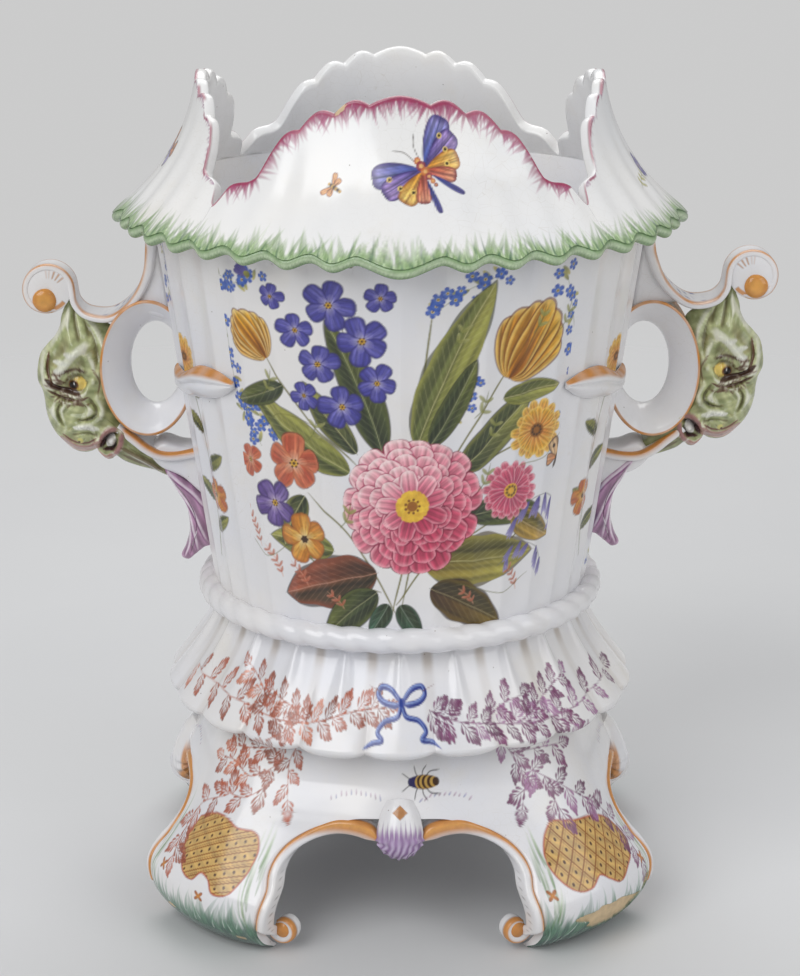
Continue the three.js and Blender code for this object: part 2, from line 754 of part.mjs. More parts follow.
// Leaf-shaped drop at the crown of an arch; its lowest point is at height low.
function dropGeometry(low) {
  const profile = [[106.5, 1], [110.8, 0.87], [114.8, 0.67], [117.8, 0.45], [118, 0.29], [116, 0.15],
    [111.5, 0.04], [105.5, 0]];
  const face = curve(profile.map(([r, f]) => [r, low + (DROP_TOP_Z - low) * f]), 9);
  const last = face.length - 1;
  const sections = face.map((p, i) => {
    const f = i / last;
    const dir = new THREE.Vector2().subVectors(face[Math.min(i + 1, last)], face[Math.max(i - 1, 0)]);
    dir.normalize();
    const half = 5.5 + 5.7 * Math.sin(Math.PI * Math.min(1, 0.1 + 0.85 * f));
    const thick = DROP_THICK * (0.45 + 0.55 * Math.sin(Math.PI * Math.min(1, 0.08 + f * 0.9)));
    const corners = [[1, 0.5], [0.6, 0.1], [0, 0], [-0.6, 0.1], [-1, 0.5], [-0.8, 1], [0.8, 1]];
    return corners.map(([x, d]) => new THREE.Vector3(
      x * half,
      -(p.x + dir.y * d * thick),
      p.y - dir.x * d * thick,
    ));
  });
  return loft(sections);
}

// Materials

function glaze(name, color) {
  return new THREE.MeshStandardMaterial({ name, color, roughness: 0.18, metalness: 0 });
}

const white = () => glaze('tin_glaze_white', 0xe9e8e6);
const collarWhite = () => glaze('tin_glaze_collar', 0xeeede9);
const green = () => glaze('enamel_green', 0x7c8a4e);
const purple = () => glaze('enamel_purple', 0x9a5f86);
const ochre = () => glaze('enamel_ochre', 0xd08a2a);

const planter = new THREE.Group();
planter.name = 'planter';

function place(name, geometry, material) {
  geometry.computeVertexNormals();
  const mesh = new THREE.Mesh(geometry, material);
  mesh.name = name;
  planter.add(mesh);
}

function addVase() {
  place('vessel', vesselGeometry(), white());
  place('rope_moulding', ropeGeometry(), white());
  const shell = collarGeometry();
  ['front', 'right', 'back', 'left'].forEach((side, i) => {
    place(`collar_${side}`, turned(shell, 90 * i), collarWhite());
  });
}

// One handle in its right-hand place, with its scroll, mask and leaf raised by lift.
function handlePieces(lift) {
  const wall = wallEnvelope();
  const hull = ringGeometry(true, JOINT_GAP);
  const raised = (geometry) => geometry.translate(0, 0, lift);
  const blob = raised(maskBlob(JOINT_GAP));
  const lower = lowerScroll(JOINT_GAP);
  const upper = scrollStrap(lift, JOINT_GAP);
  const core = voluteCore(lift, JOINT_GAP);
  const scroll = joined(scrollStrap(lift, 0), voluteCore(lift, 0), bossGeometry(lift));
  const clasp = cut(claspGeometry(), hull);
  return [
    ['scroll', cut(scroll, wall, hull), white],
    ['finger_ring', cut(ringGeometry(false, 0), wall), white],
    ['mask', cut(raised(maskGeometry()), hull, upper, core), green],
    ['lower_scroll', cut(lowerScroll(0), wall, hull, blob), ochre],
    ['leaf_drop', cut(raised(leafDrop()), wall, hull, blob, lower), purple],
    ['clasp_front', clasp, white],
    ['clasp_back', mirrored(clasp, 'y'), white],
  ];
}

function addHandles() {
  for (const [name, geometry, material] of handlePieces(RIGHT_LIFT)) {
    place(`${name}_right`, geometry, material());
  }
  for (const [name, geometry, material] of handlePieces(0)) {
    place(`${name}_left`, mirrored(geometry, 'x'), material());
  }
}

function addStand() {
  place('skirt', skirtGeometry(), white());
  const leg = legGeometry(0);
  ['front_right', 'back_right', 'back_left', 'front_left'].forEach((corner, i) => {
    place(`leg_${corner}`, turned(leg, 90 * i), white());
  });
  const besideRight = legGeometry(JOINT_GAP);
  const besideLeft = turned(besideRight, -90);
  const right = cut(archScroll(0), besideRight);
  const left = mirrored(right, 'x');
  const underRight = archScroll(JOINT_GAP);
  const around = [besideRight, besideLeft, underRight, mirrored(underRight, 'x')];
  const short = cut(dropGeometry(FRONT_DROP_Z), ...around);
  const long = cut(dropGeometry(SIDE_DROP_Z), ...around);
  ['front', 'right', 'back', 'left'].forEach((side, i) => {
    place(`arch_scroll_${side}_a`, turned(left, 90 * i), ochre());
    place(`arch_scroll_${side}_b`, turned(right, 90 * i), ochre());
    place(`drop_${side}`, turned(i % 2 ? long : short, 90 * i), purple());
  });
}

addVase();
addHandles();
addStand();

export default planter;
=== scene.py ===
import math
import bpy
import numpy as np
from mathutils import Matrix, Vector


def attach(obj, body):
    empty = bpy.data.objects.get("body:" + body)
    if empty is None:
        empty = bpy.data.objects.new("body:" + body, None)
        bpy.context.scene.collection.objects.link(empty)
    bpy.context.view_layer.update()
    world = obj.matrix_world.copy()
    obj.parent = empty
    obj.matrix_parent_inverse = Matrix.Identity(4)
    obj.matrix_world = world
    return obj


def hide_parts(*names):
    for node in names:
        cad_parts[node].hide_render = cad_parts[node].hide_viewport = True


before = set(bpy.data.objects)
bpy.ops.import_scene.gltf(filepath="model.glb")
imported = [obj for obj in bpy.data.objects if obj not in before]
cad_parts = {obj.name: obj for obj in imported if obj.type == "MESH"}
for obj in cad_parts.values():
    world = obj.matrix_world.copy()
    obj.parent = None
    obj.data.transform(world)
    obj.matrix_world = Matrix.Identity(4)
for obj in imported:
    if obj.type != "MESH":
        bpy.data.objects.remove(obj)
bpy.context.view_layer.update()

# Sizes in millimetres and degrees, most of them shared with the solids; azimuth 0 is the front, 90 the right
MM = 0.001
RAD_PER_DEGREE = math.pi / 180
SEAT_Z = 146.0
GAP = 0.3
WALL = 6.0
VESSEL_SEAT_R = 91.7
VESSEL_SLOPE = 0.144
FLOOR_THICK = 8.0
FOOT_HEIGHT = 9.0
FOOT_R = 88.4
FLUTES = 36
FLUTE_DEPTH = 1.2
FLUTE_SCOOP = 1.3
ROPE_R = 95.0
ROPE_TUBE_R = 6.2
ROPE_STRANDS = 44
ROPE_FLAT = 5.85
HEM_R, HEM_Z = 137.5, 339.5
BEND_R, BEND_Z = 101.0, 367.5
CREST_R, CREST_Z = 97.0, 407.0
SHEET = 5.5
NOTCH_Z = 356.0
SHOULDER_Z = 363.5
TIP_HALF_ANGLE = 8.0
SIDE_LOBES = 4
HALF_WIDTH = 15.0
RING_U, RING_Z = 123.0, 263.5
THROAT_A, THROAT_B = 12.6, 20.8
THROAT_SHIFT = 3.4
RIM_A, RIM_B = 21.2, 32.0
RING_WALL = 4.2
RING_TILT = 2.0
VOLUTE_HALF_WIDTH = 7.5
VOLUTE_U, VOLUTE_Z, VOLUTE_R = 170.6, 300.6, 13.6
STRAP_THICK = 4.8
RIGHT_LIFT = 7.0
SKIRT_TOP_R = 90.0
SKIRT_HEM_R, SKIRT_HEM_Z = 115.5, 104.0
SKIRT_THICK = 6.0
SKIRT_FLUTES = 22
SKIRT_DEPTH = 3.8
HEM_SAG = 4.2
DECK_INNER_R = 76.0
LEG_THICK = 7.0
WALL_TOP_Z = 120.0
ARCH_TOP_Z = 67.5
SCROLL_DEPTH = 12.0
SCROLL_BAND = 5.0
FOOT_VOLUTE_R = 8.6
DROP_THICK = 15.0
DROP_TOP_Z = 77.5
FRONT_DROP_Z = 46.0
SIDE_DROP_Z = 40.2
FOOT_VOLUTE_INSET = 13.0
FOOT_VOLUTE_LIFT = 3.0
FOOT_VOLUTE_SHIFT = 2.0

# Colours as seen, 0 to 255
WHITE = (233, 231, 230)
# Painted light: the collar's white is the same glaze as WHITE, painted brighter for the well-lit collar.
COLLAR_LIT_WHITE = (244, 243, 241)
BUFF = (214, 190, 154)
GREEN = (112, 150, 92)
GREEN_PALE = (184, 204, 158)
SEA_GREEN = (70, 108, 88)
LEAF = (112, 118, 56)
LEAF_PALE = (172, 168, 84)
LEAF_DARK = (44, 54, 34)
OLIVE = (122, 102, 38)
BROWN = (62, 40, 26)
RUST = (180, 92, 66)
RUST_PALE = (222, 158, 132)
OCHRE = (205, 132, 38)
AMBER = (150, 84, 20)
HAZEL = (150, 96, 40)
GOLD = (204, 164, 82)
YELLOW = (222, 172, 58)
YELLOW_PALE = (244, 210, 120)
CRIMSON = (150, 52, 88)
ROSE = (206, 92, 116)
ROSE_PALE = (238, 184, 192)
PURPLE = (128, 66, 108)
LILAC = (190, 156, 192)
VIOLET = (84, 74, 142)
VIOLET_PALE = (152, 144, 200)
COBALT = (44, 66, 150)
SKY = (122, 154, 208)
CREAM = (240, 232, 214)
BLACK = (30, 24, 26)


def linear(colour):
    """Scene colour of a colour as seen, 0 to 255."""
    c = np.asarray(colour, float) / 255.0
    return np.where(c <= 0.04045, c / 12.92, ((c + 0.055) / 1.055) ** 2.4)


def polar(r, azimuth, z):
    """Points in space from radius, azimuth in degrees and height."""
    a = np.radians(azimuth)
    return np.stack(np.broadcast_arrays(r * np.sin(a), -r * np.cos(a), z), axis=-1).astype(float)


def smooth(a, b, x):
    """Soft step from 0 at a to 1 at b."""
    t = np.clip((np.asarray(x, float) - a) / (b - a), 0, 1)
    return t * t * (3 - 2 * t)


def along(table, x):
    """Smooth values at x through a short table of (x, value) pairs."""
    knots = np.asarray(table, float)
    kx, ky = knots[:, 0], knots[:, 1]
    x = np.clip(np.asarray(x, float), kx[0], kx[-1])
    slope = np.empty(len(kx))
    slope[1:-1] = (ky[2:] - ky[:-2]) / (kx[2:] - kx[:-2])
    slope[0] = (ky[1] - ky[0]) / (kx[1] - kx[0])
    slope[-1] = (ky[-1] - ky[-2]) / (kx[-1] - kx[-2])
    i = np.clip(np.searchsorted(kx, x, side="left") - 1, 0, len(kx) - 2)
    h = kx[i + 1] - kx[i]
    t = (x - kx[i]) / h
    t2, t3 = t * t, t * t * t
    return ((2 * t3 - 3 * t2 + 1) * ky[i] + (t3 - 2 * t2 + t) * h * slope[i]
            + (3 * t2 - 2 * t3) * ky[i + 1] + (t3 - t2) * h * slope[i + 1])


def curve(points, count):
    """Evenly stepped points on a smooth curve through the given points."""
    p = np.asarray(points, float)
    step = np.linspace(0, len(p) - 1, count)
    knots = np.arange(len(p))
    columns = [along(np.column_stack([knots, p[:, k]]), step) for k in range(p.shape[1])]
    return np.column_stack(columns)


def nearest(px, py, path):
    """For each place, the squared distance to a path's points and the share along it of the nearest."""
    best = np.full(np.shape(px), 1e9)
    where = np.zeros(np.shape(px))
    for k, (x, y) in enumerate(path):
        gap = (px - x) ** 2 + (py - y) ** 2
        nearer = gap < best
        best = np.where(nearer, gap, best)
        where = np.where(nearer, k / (len(path) - 1), where)
    return best, where


def even(path, count):
    """The same path at even steps of its length."""
    gaps = np.linalg.norm(np.diff(path, axis=0), axis=1)
    run = np.concatenate([[0], np.cumsum(gaps)])
    step = np.linspace(0, run[-1], count)
    return np.column_stack([np.interp(step, run, path[:, k]) for k in range(path.shape[1])])


class Shape:
    """Points, faces and colours of one mesh. A colour is (r, g, b, amount over the glaze)."""

    def __init__(self):
        self.points, self.faces, self.tints, self.count = [], [], [], 0

    def add(self, points, faces, tint=None):
        """Points with faces that count from the first of them."""
        points = np.asarray(points, float).reshape(-1, 3)
        if tint is None:
            tint = np.zeros((len(points), 4))
        tint = np.broadcast_to(np.asarray(tint, float), (len(points), 4))
        self.points.append(points)
        self.tints.append(tint)
        self.faces.extend((np.asarray(faces) + self.count).tolist())
        self.count += len(points)

    def grid(self, points, tint=None, around=False, along_closed=False):
        """Quads over a grid of points; around closes its second direction."""
        rows, columns = points.shape[:2]
        index = np.arange(rows * columns).reshape(rows, columns)
        if around:
            index = np.concatenate([index, index[:, :1]], axis=1)
        if along_closed:
            index = np.concatenate([index, index[:1]], axis=0)
        quads = np.stack([index[:-1, :-1], index[:-1, 1:], index[1:, 1:], index[1:, :-1]], axis=-1)
        if tint is not None:
            tint = np.asarray(tint, float).reshape(-1, 4)
        self.add(points, quads.reshape(-1, 4), tint)

    def loft(self, sections, tint=None):
        """Closed rings joined in order, with both ends shut."""
        sections = np.asarray(sections, float)
        rows, columns = sections.shape[:2]
        if tint is None:
            tint = np.zeros((rows, columns, 4))
        base = self.count
        self.grid(sections, tint, around=True)
        for row, flip in ((0, True), (rows - 1, False)):
            self.add(sections[row].mean(axis=0), np.empty((0, 3), int), tint[row].mean(axis=0))
            ring = base + row * columns + np.arange(columns)
            ahead = np.roll(ring, -1)
            hub = np.full(columns, self.count - 1)
            fan = np.stack([hub, ahead, ring] if flip else [hub, ring, ahead], axis=-1)
            self.faces.extend(fan.tolist())

    def build(self, name):
        """The shape as a Blender object with its colours in the paint attribute."""
        points = np.concatenate(self.points) * MM
        sizes = np.array([len(f) for f in self.faces])
        corners = np.concatenate([np.asarray(f) for f in self.faces]) if len(set(sizes)) > 1 \
            else np.asarray(self.faces).ravel()
        starts = np.concatenate([[0], np.cumsum(sizes)[:-1]])
        a, b, c = (points[corners[starts + k]] for k in range(3))
        mesh = bpy.data.meshes.new(name)
        mesh.vertices.add(len(points))
        mesh.vertices.foreach_set("co", points.astype(np.float32).ravel())
        mesh.loops.add(len(corners))
        mesh.loops.foreach_set("vertex_index", corners.astype(np.int32))
        mesh.polygons.add(len(sizes))
        mesh.polygons.foreach_set("loop_start", starts.astype(np.int32))
        mesh.polygons.foreach_set("use_smooth", np.ones(len(sizes), bool))
        mesh.update(calc_edges=True)
        if np.einsum("ij,ij->i", a, np.cross(b, c)).sum() < 0:
            mesh.flip_normals()
        paint = mesh.color_attributes.new("paint", "FLOAT_COLOR", "POINT")
        paint.data.foreach_set("color", np.concatenate(self.tints).astype(np.float32).ravel())
        piece = bpy.data.objects.new(name, mesh)
        bpy.context.scene.collection.objects.link(piece)
        return piece


def dress(shape, name, body, nodes, material):
    """Builds the mesh, gives it its material and lets it stand for its nodes on their body."""
    piece = shape.build(name + "_glazed")
    piece.data.materials.append(material)
    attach(piece, body)
    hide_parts(*nodes)


def tinted(shape, colour, amount):
    """Colour array over a grid: one colour, with an amount for each point."""
    tint = np.zeros(tuple(shape) + (4,))
    tint[..., :3] = linear(colour)
    tint[..., 3] = amount
    return tint


def over(tint, colour, amount):
    """Lays one more colour over a tint array."""
    amount = np.clip(np.broadcast_to(amount, tint.shape[:-1]), 0, 1)[..., None]
    colour = linear(colour) if np.ndim(colour) == 1 else colour
    keep = tint[..., 3:] * (1 - amount)
    total = keep + amount
    safe = np.where(total > 1e-6, total, 1)
    rgb = (tint[..., :3] * keep + colour * amount) / safe
    return np.concatenate([rgb, total], axis=-1)


# Painting: each surface has a flat canvas in millimetres, read afterwards at the points of its mesh

class Canvas:
    """Flat sheet of colour, cover and bare clay; STEP is its grain in millimetres."""

    STEP = 0.25

    def __init__(self, left, right, low, high, seed):
        self.left, self.low = left, low
        self.columns = int((right - left) / self.STEP) + 2
        self.rows = int((high - low) / self.STEP) + 2
        self.colour = np.zeros((self.rows, self.columns, 3))
        self.cover = np.zeros((self.rows, self.columns))
        self.bare = np.zeros((self.rows, self.columns))
        self.chance = np.random.default_rng(seed)

    def window(self, x0, x1, y0, y1):
        """The canvas places inside a rectangle, with their x and y; None where it misses the canvas."""
        i0, i1 = (int((x - self.left) / self.STEP) for x in (x0, x1))
        j0, j1 = (int((y - self.low) / self.STEP) for y in (y0, y1))
        i0, j0 = max(i0, 0), max(j0, 0)
        i1, j1 = min(i1 + 2, self.columns), min(j1 + 2, self.rows)
        if i0 >= i1 or j0 >= j1:
            return None
        x, y = np.meshgrid(self.left + self.STEP * np.arange(i0, i1),
                           self.low + self.STEP * np.arange(j0, j1))
        return (slice(j0, j1), slice(i0, i1)), x, y

    def lay(self, spot, colour, amount):
        """Lays a colour over what the places have, by an amount from 0 to 1."""
        amount = np.clip(amount, 0, 1)
        keep = self.cover[spot] * (1 - amount)
        total = keep + amount
        colour = np.broadcast_to(np.asarray(colour, float), total.shape + (3,))
        mixed = self.colour[spot] * keep[..., None] + colour * amount[..., None]
        self.colour[spot] = mixed / np.maximum(total, 1e-6)[..., None]
        self.cover[spot] = total

    def streaks(self, v, pitch):
        """Uneven bristle marks, from -1 to 1, that vary across v."""
        total = 0
        for k in (1.0, 1.7, 2.9):
            total = total + np.sin(v * 2 * np.pi * k / pitch + self.chance.uniform(0, 6.28)) / k
        return total / 1.9

    def petal(self, x, y, angle, length, width, base, tip, rim=None, bend=0.0, full=0.5, point=0.5,
              streak=0.12, fade=0.0, half=None, vein=None, amount=0.96, ruffle=0.0):
        """One petal, leaf or brush mark that starts at x, y and runs along angle, in degrees."""
        reach = length * 1.15 + width
        found = self.window(x - reach, x + reach, y - reach, y + reach)
        if found is None:
            return
        spot, px, py = found
        c, s = math.cos(math.radians(angle)), math.sin(math.radians(angle))
        u = ((px - x) * c + (py - y) * s) / length
        v = -(px - x) * s + (py - y) * c - bend * length * u * u
        inside = np.clip(u, 0, 1)
        peak = (full / (full + point)) ** full * (point / (full + point)) ** point
        side = width / 2 * inside ** full * (1 - inside) ** point / peak
        if ruffle:
            side = side * (1 + ruffle * np.sin(u * 19 + self.chance.uniform(0, 6)))
        cover = np.clip((side - np.abs(v)) / 0.45 + 0.5, 0, 1) * (u > -0.02) * (u < 1.02)
        if not cover.any():
            return
        across = np.abs(v) / np.maximum(side, 0.2)
        base, tip = np.asarray(base, float), np.asarray(tip, float)
        colour = base + (tip - base) * inside[..., None]
        if half is not None:
            shade = smooth(-0.25, 0.35, v / np.maximum(side, 0.2))[..., None]
            colour = colour + (np.asarray(half, float) - colour) * shade * 0.75
        bristle = 1 + streak * self.streaks(v + 0.6 * u, max(width * 0.32, 0.8))
        colour = colour * bristle[..., None]
        if rim is not None:
            edge = np.maximum(smooth(0.62, 0.98, across), smooth(0.84, 1.0, inside))[..., None]
            colour = colour + (np.asarray(rim, float) - colour) * edge * 0.85
        if vein is not None:
            ribs = np.abs((u * length * 0.5 - np.abs(v) * 0.8) % 2.4 - 1.2)
            thin = np.maximum(smooth(0.5, 0.0, np.abs(v)), smooth(0.4, 0.05, ribs) * 0.3 * (across < 0.8))
            colour = colour + (np.asarray(vein, float) - colour) * (thin * 0.8)[..., None]
        strength = amount * cover * (1 - fade * inside)
        self.lay(spot, np.clip(colour, 0, 255), strength)

    def stroke(self, points, width, colour, ends=(0.5, 0.3), amount=0.92):
        """Brush line through points; ends are the widths at its two ends as shares of its width."""
        points = np.asarray(points, float)
        gaps = np.linalg.norm(np.diff(points, axis=0), axis=1).sum()
        path = curve(points, max(4, int(gaps / min(0.6, 0.5 * width))))
        low, high = path.min(axis=0) - width, path.max(axis=0) + width
        found = self.window(low[0], high[0], low[1], high[1])
        if found is None:
            return
        spot, px, py = found
        best, where = nearest(px, py, path)
        swell = np.minimum(1, ends[0] + where * 5) * np.minimum(1, ends[1] + (1 - where) * 5)
        cover = np.clip((width / 2 * swell - np.sqrt(best)) / 0.4 + 0.5, 0, 1)
        self.lay(spot, colour, amount * cover)

    def spot(self, x, y, radius, colour, amount=0.95):
        """Round dab of one colour."""
        found = self.window(x - radius - 1, x + radius + 1, y - radius - 1, y + radius + 1)
        if found is None:
            return
        place, px, py = found
        gap = np.hypot(px - x, py - y)
        self.lay(place, colour, amount * np.clip((radius - gap) / 0.4 + 0.5, 0, 1))

    def chip(self, x, y, wide, high, turn=0.0):
        """Ragged patch of bare clay; an amount above one tells the glaze to stay away."""
        found = self.window(x - wide - high, x + wide + high, y - wide - high, y + wide + high)
        if found is None:
            return
        place, px, py = found
        c, s = math.cos(math.radians(turn)), math.sin(math.radians(turn))
        u, v = ((px - x) * c + (py - y) * s) / wide, (-(px - x) * s + (py - y) * c) / high
        angle = np.arctan2(v, u)
        ragged = sum(self.chance.uniform(0.03, 0.1) * np.sin(k * angle + self.chance.uniform(0, 6.28))
                     for k in (2, 3, 5, 7, 11))
        inside = np.clip((1 + ragged - np.hypot(u, v)) * min(wide, high) / 0.35, 0, 1)
        self.lay(place, BUFF, inside)
        self.bare[place] = np.maximum(self.bare[place], inside)

    def read(self, x, y):
        """Linear colours and amounts at canvas places."""
        fx = np.clip((np.asarray(x, float) - self.left) / self.STEP, 0, self.columns - 1.001)
        fy = np.clip((np.asarray(y, float) - self.low) / self.STEP, 0, self.rows - 1.001)
        i, j = fx.astype(int), fy.astype(int)
        a, b = fx - i, fy - j
        cover, colour, bare = 0, 0, 0
        for dj, wj in ((0, 1 - b), (1, b)):
            for di, wi in ((0, 1 - a), (1, a)):
                share = wi * wj * self.cover[j + dj, i + di]
                cover = cover + share
                colour = colour + share[..., None] * self.colour[j + dj, i + di]
                bare = bare + wi * wj * self.bare[j + dj, i + di]
        rgb = linear(colour / np.maximum(cover, 1e-6)[..., None])
        return np.concatenate([rgb, (cover + bare)[..., None]], axis=-1)


# Painted motifs

def blend(a, b, f):
    """Colour that lies a share f of the way from a to b."""
    return tuple(np.asarray(a, float) + (np.asarray(b, float) - np.asarray(a, float)) * f)


def ray(x, y, angle, far):
    """Place at a distance from x, y, in a direction in degrees."""
    a = math.radians(angle)
    return x + far * math.cos(a), y + far * math.sin(a)


def dots(c, x, y, far, size, colour, count=9, step=0.7):
    """Dots round a point, a step in radians apart."""
    for k in range(count):
        c.spot(x + far * math.cos(step * k), y + far * math.sin(step * k), size, colour)


PEONY_RINGS = ((17, 1.0, 0.37), (16, 0.88, 0.35), (15, 0.76, 0.33), (13, 0.63, 0.31), (11, 0.5, 0.28),
               (9, 0.38, 0.25))


def peony(c, x, y, r):
    """Full flower of rings of pointed petals, pale on its lit side, round a gold heart."""
    for count, reach, wide in PEONY_RINGS:
        off = c.chance.uniform(0, 360)
        for k in range(count):
            angle = off + 360 * k / count + c.chance.uniform(-5, 5)
            shade = 0.5 - 0.5 * math.cos(math.radians(angle - 125))
            root = ray(x, y, angle, max(0, reach - 0.5) * r)
            long = 0.5 * r * c.chance.uniform(0.92, 1.08)
            deep = blend((178, 52, 88), (118, 16, 48), shade)
            body = blend((250, 208, 210), (212, 84, 112), shade)
            rim = blend((255, 236, 234), (236, 160, 172), shade)
            c.petal(*root, angle, long, wide * r * 1.08, blend(deep, BLACK, 0.25), blend(deep, BLACK, 0.1),
                    full=0.8, point=0.36, amount=0.8)
            c.petal(*root, angle, long, wide * r, deep, body, rim=rim, full=0.8, point=0.42, streak=0.2,
                    ruffle=0.04)
    for far, size, count in ((0.19, 0.05, 22), (0.13, 0.05, 15), (0.07, 0.05, 8)):
        for k in range(count):
            a = 6.283 * k / count + c.chance.uniform(-0.1, 0.1)
            c.spot(x + far * r * math.cos(a), y + far * r * math.sin(a), size * r,
                   blend(YELLOW, (244, 206, 70), c.chance.uniform(0, 1)))
    c.spot(x, y, 0.075 * r, (150, 92, 30))
    dots(c, x, y, 0.1 * r, 0.018 * r, (110, 60, 24))


def daisy(c, x, y, r, count, deep, body, rim, eye):
    """Open flower with two rings of petals round a dotted eye."""
    for ring in (0, 1):
        for k in range(count):
            angle = 360 * (k + 0.5 * ring) / count + c.chance.uniform(-4, 4)
            long = r * (1 - 0.2 * ring) * c.chance.uniform(0.92, 1.05)
            c.petal(x, y, angle, long, 5.2 * r / count, blend(deep, body, 0.2 * ring), body, rim=rim,
                    full=0.8, point=0.35, streak=0.2)
    c.spot(x, y, 0.24 * r, eye)
    dots(c, x, y, 0.15 * r, 0.045 * r, blend(eye, BLACK, 0.6))


def primrose(c, x, y, r, deep, body, rim, eye, turn=0):
    """Five broad petals, pale at the throat, with fine veins."""
    shadow = blend(deep, BLACK, 0.3)
    for k in range(5):
        angle = turn + 72 * k + c.chance.uniform(-7, 7)
        long = r * c.chance.uniform(0.9, 1.1)
        c.petal(x, y, angle, long * 1.04, r * 0.86, shadow, shadow, full=0.85, point=0.4, amount=0.7)
        c.petal(x, y, angle, long, r * 0.8, body, blend(deep, body, 0.25), rim=rim, half=deep, full=0.85,
                point=0.4, streak=0.16, ruffle=0.04)
        for off in (-16, 0, 16):
            c.petal(x, y, angle + off, 0.85 * long, 0.07 * r, shadow, deep, full=0.4, point=0.8, amount=0.5)
        c.petal(x, y, angle, 0.5 * r, 0.3 * r, blend(body, CREAM, 0.8), body, full=0.5, fade=0.7, amount=0.85)
    c.spot(x, y, 0.13 * r, eye)
    dots(c, x, y, 0.13 * r, 0.035 * r, BROWN, count=6, step=1.05)
    c.spot(x, y, 0.05 * r, BROWN)


def goblet(c, x, y, angle, r, deep, body, rim):
    """Cup-shaped bloom seen from the side, its petals streaked."""
    shadow = blend(deep, BLACK, 0.35)
    for off, wide in ((-40, 0.42), (40, 0.42), (-24, 0.5), (24, 0.5), (-11, 0.5), (11, 0.5), (0, 0.42)):
        long = r * (1.35 - abs(off) / 110)
        bend = -off / 330
        c.petal(x, y, angle + off, long * 1.03, (wide + 0.05) * r, shadow, blend(deep, BLACK, 0.2), bend=bend,
                full=0.5, point=0.42, amount=0.75)
        c.petal(x, y, angle + off, long, wide * r, deep, body, rim=rim, bend=bend, full=0.5, point=0.42,
                streak=0.3, half=blend(deep, body, 0.4))
        for lean in (-6, 5):
            c.petal(x, y, angle + off + lean, 0.75 * long, 0.06 * r, shadow, deep, bend=bend, full=0.4,
                    point=0.9, amount=0.55)


def leaf(c, x, y, angle, length, width, dark, light, vein=CREAM, bend=0.0, toothed=0.0):
    """Leaf with a dark outline, a midrib and side veins."""
    shape = dict(bend=bend, full=0.55, point=0.75, ruffle=toothed)
    c.petal(x, y, angle, length * 1.02, width * 1.06, blend(dark, BLACK, 0.5), blend(dark, BLACK, 0.35),
            amount=0.8, **shape)
    c.petal(x, y, angle, length, width, dark, light, half=blend(dark, LEAF_DARK, 0.6), vein=vein,
            streak=0.26, rim=blend(light, dark, 0.3), **shape)


def sprig(c, points, colour, leaf_colour, size, bloom=None):
    """Thin stem with paired leaves and, at its end, a bloom or bud."""
    c.stroke(points, 0.55, colour, amount=0.8)
    path = curve(points, 40)
    count = max(3, int(np.linalg.norm(np.diff(path, axis=0), axis=1).sum() / (size * 0.8)))
    for k in range(1, count):
        i = int(39 * k / count)
        way = path[min(i + 1, 39)] - path[i - 1]
        angle = math.degrees(math.atan2(way[1], way[0]))
        for side in (-1, 1):
            c.petal(*path[i], angle + side * c.chance.uniform(35, 60), size * c.chance.uniform(0.8, 1.1),
                    size * 0.36, leaf_colour, blend(leaf_colour, CREAM, 0.3), amount=0.85)
    if bloom is not None:
        bloom(*path[-1])


def small_bells(c, points, size):
    """Spray of little blue flowers with yellow eyes along a stem."""
    c.stroke(points, 0.4, LEAF, amount=0.6)
    path = curve(points, 30)
    for i in range(1, 30, 4):
        c.petal(*path[i], c.chance.uniform(0, 360), size * 2.0, size * 0.7, LEAF, (206, 190, 90), amount=0.85)
    for i in range(1, 30, 2):
        x, y = path[i] + c.chance.uniform(-1, 1, 2) * size * 1.7
        turn, r = c.chance.uniform(0, 72), size * c.chance.uniform(0.75, 1.15)
        for k in range(5):
            c.petal(x, y, turn + 72 * k, r, r * 0.72, (96, 132, 206), (52, 84, 176), streak=0.1, full=0.7,
                    point=0.35)
        c.spot(x, y, r * 0.24, YELLOW_PALE)
        c.spot(x, y, r * 0.1, BROWN)


def bells(c, points, size, colour, pale):
    """Arching stem with narrow hanging bells."""
    c.stroke(points, 0.45, blend(colour, LEAF, 0.5), amount=0.75)
    path = curve(points, 24)
    for i in range(3, 24, 3):
        x, y = path[i] + c.chance.uniform(-0.8, 0.8, 2)
        angle = c.chance.uniform(-130, -70)
        for off in (-9, 0, 9):
            c.petal(x, y, angle + off, size * c.chance.uniform(0.85, 1.1), size * 0.2, colour,
                    pale, full=0.5, point=0.6, streak=0.2, amount=0.85)


def frond(c, x, y, angle, size, deep, pale):
    """Fern-like leaf: tapering strokes that fan out from a midrib, with gaps between them."""
    for j, long in enumerate((0.36, 0.46, 0.44, 0.36)):
        root = ray(x, y, angle, (0.04 + 0.17 * j) * size)
        for side in (-1, 1):
            c.petal(*root, angle + side * (56 - 9 * j), long * size * c.chance.uniform(0.85, 1.15),
                    0.115 * size, deep, blend(deep, pale, 0.2), full=1.6, point=0.4, streak=0.2,
                    bend=-side * 0.24, amount=0.95)
    tip = ray(x, y, angle, 0.6 * size)
    c.petal(*tip, angle, 0.42 * size, 0.13 * size, deep, deep, full=1.3, point=0.4, amount=0.95)
    c.stroke([(x, y), tip], 0.5, deep, amount=0.85)


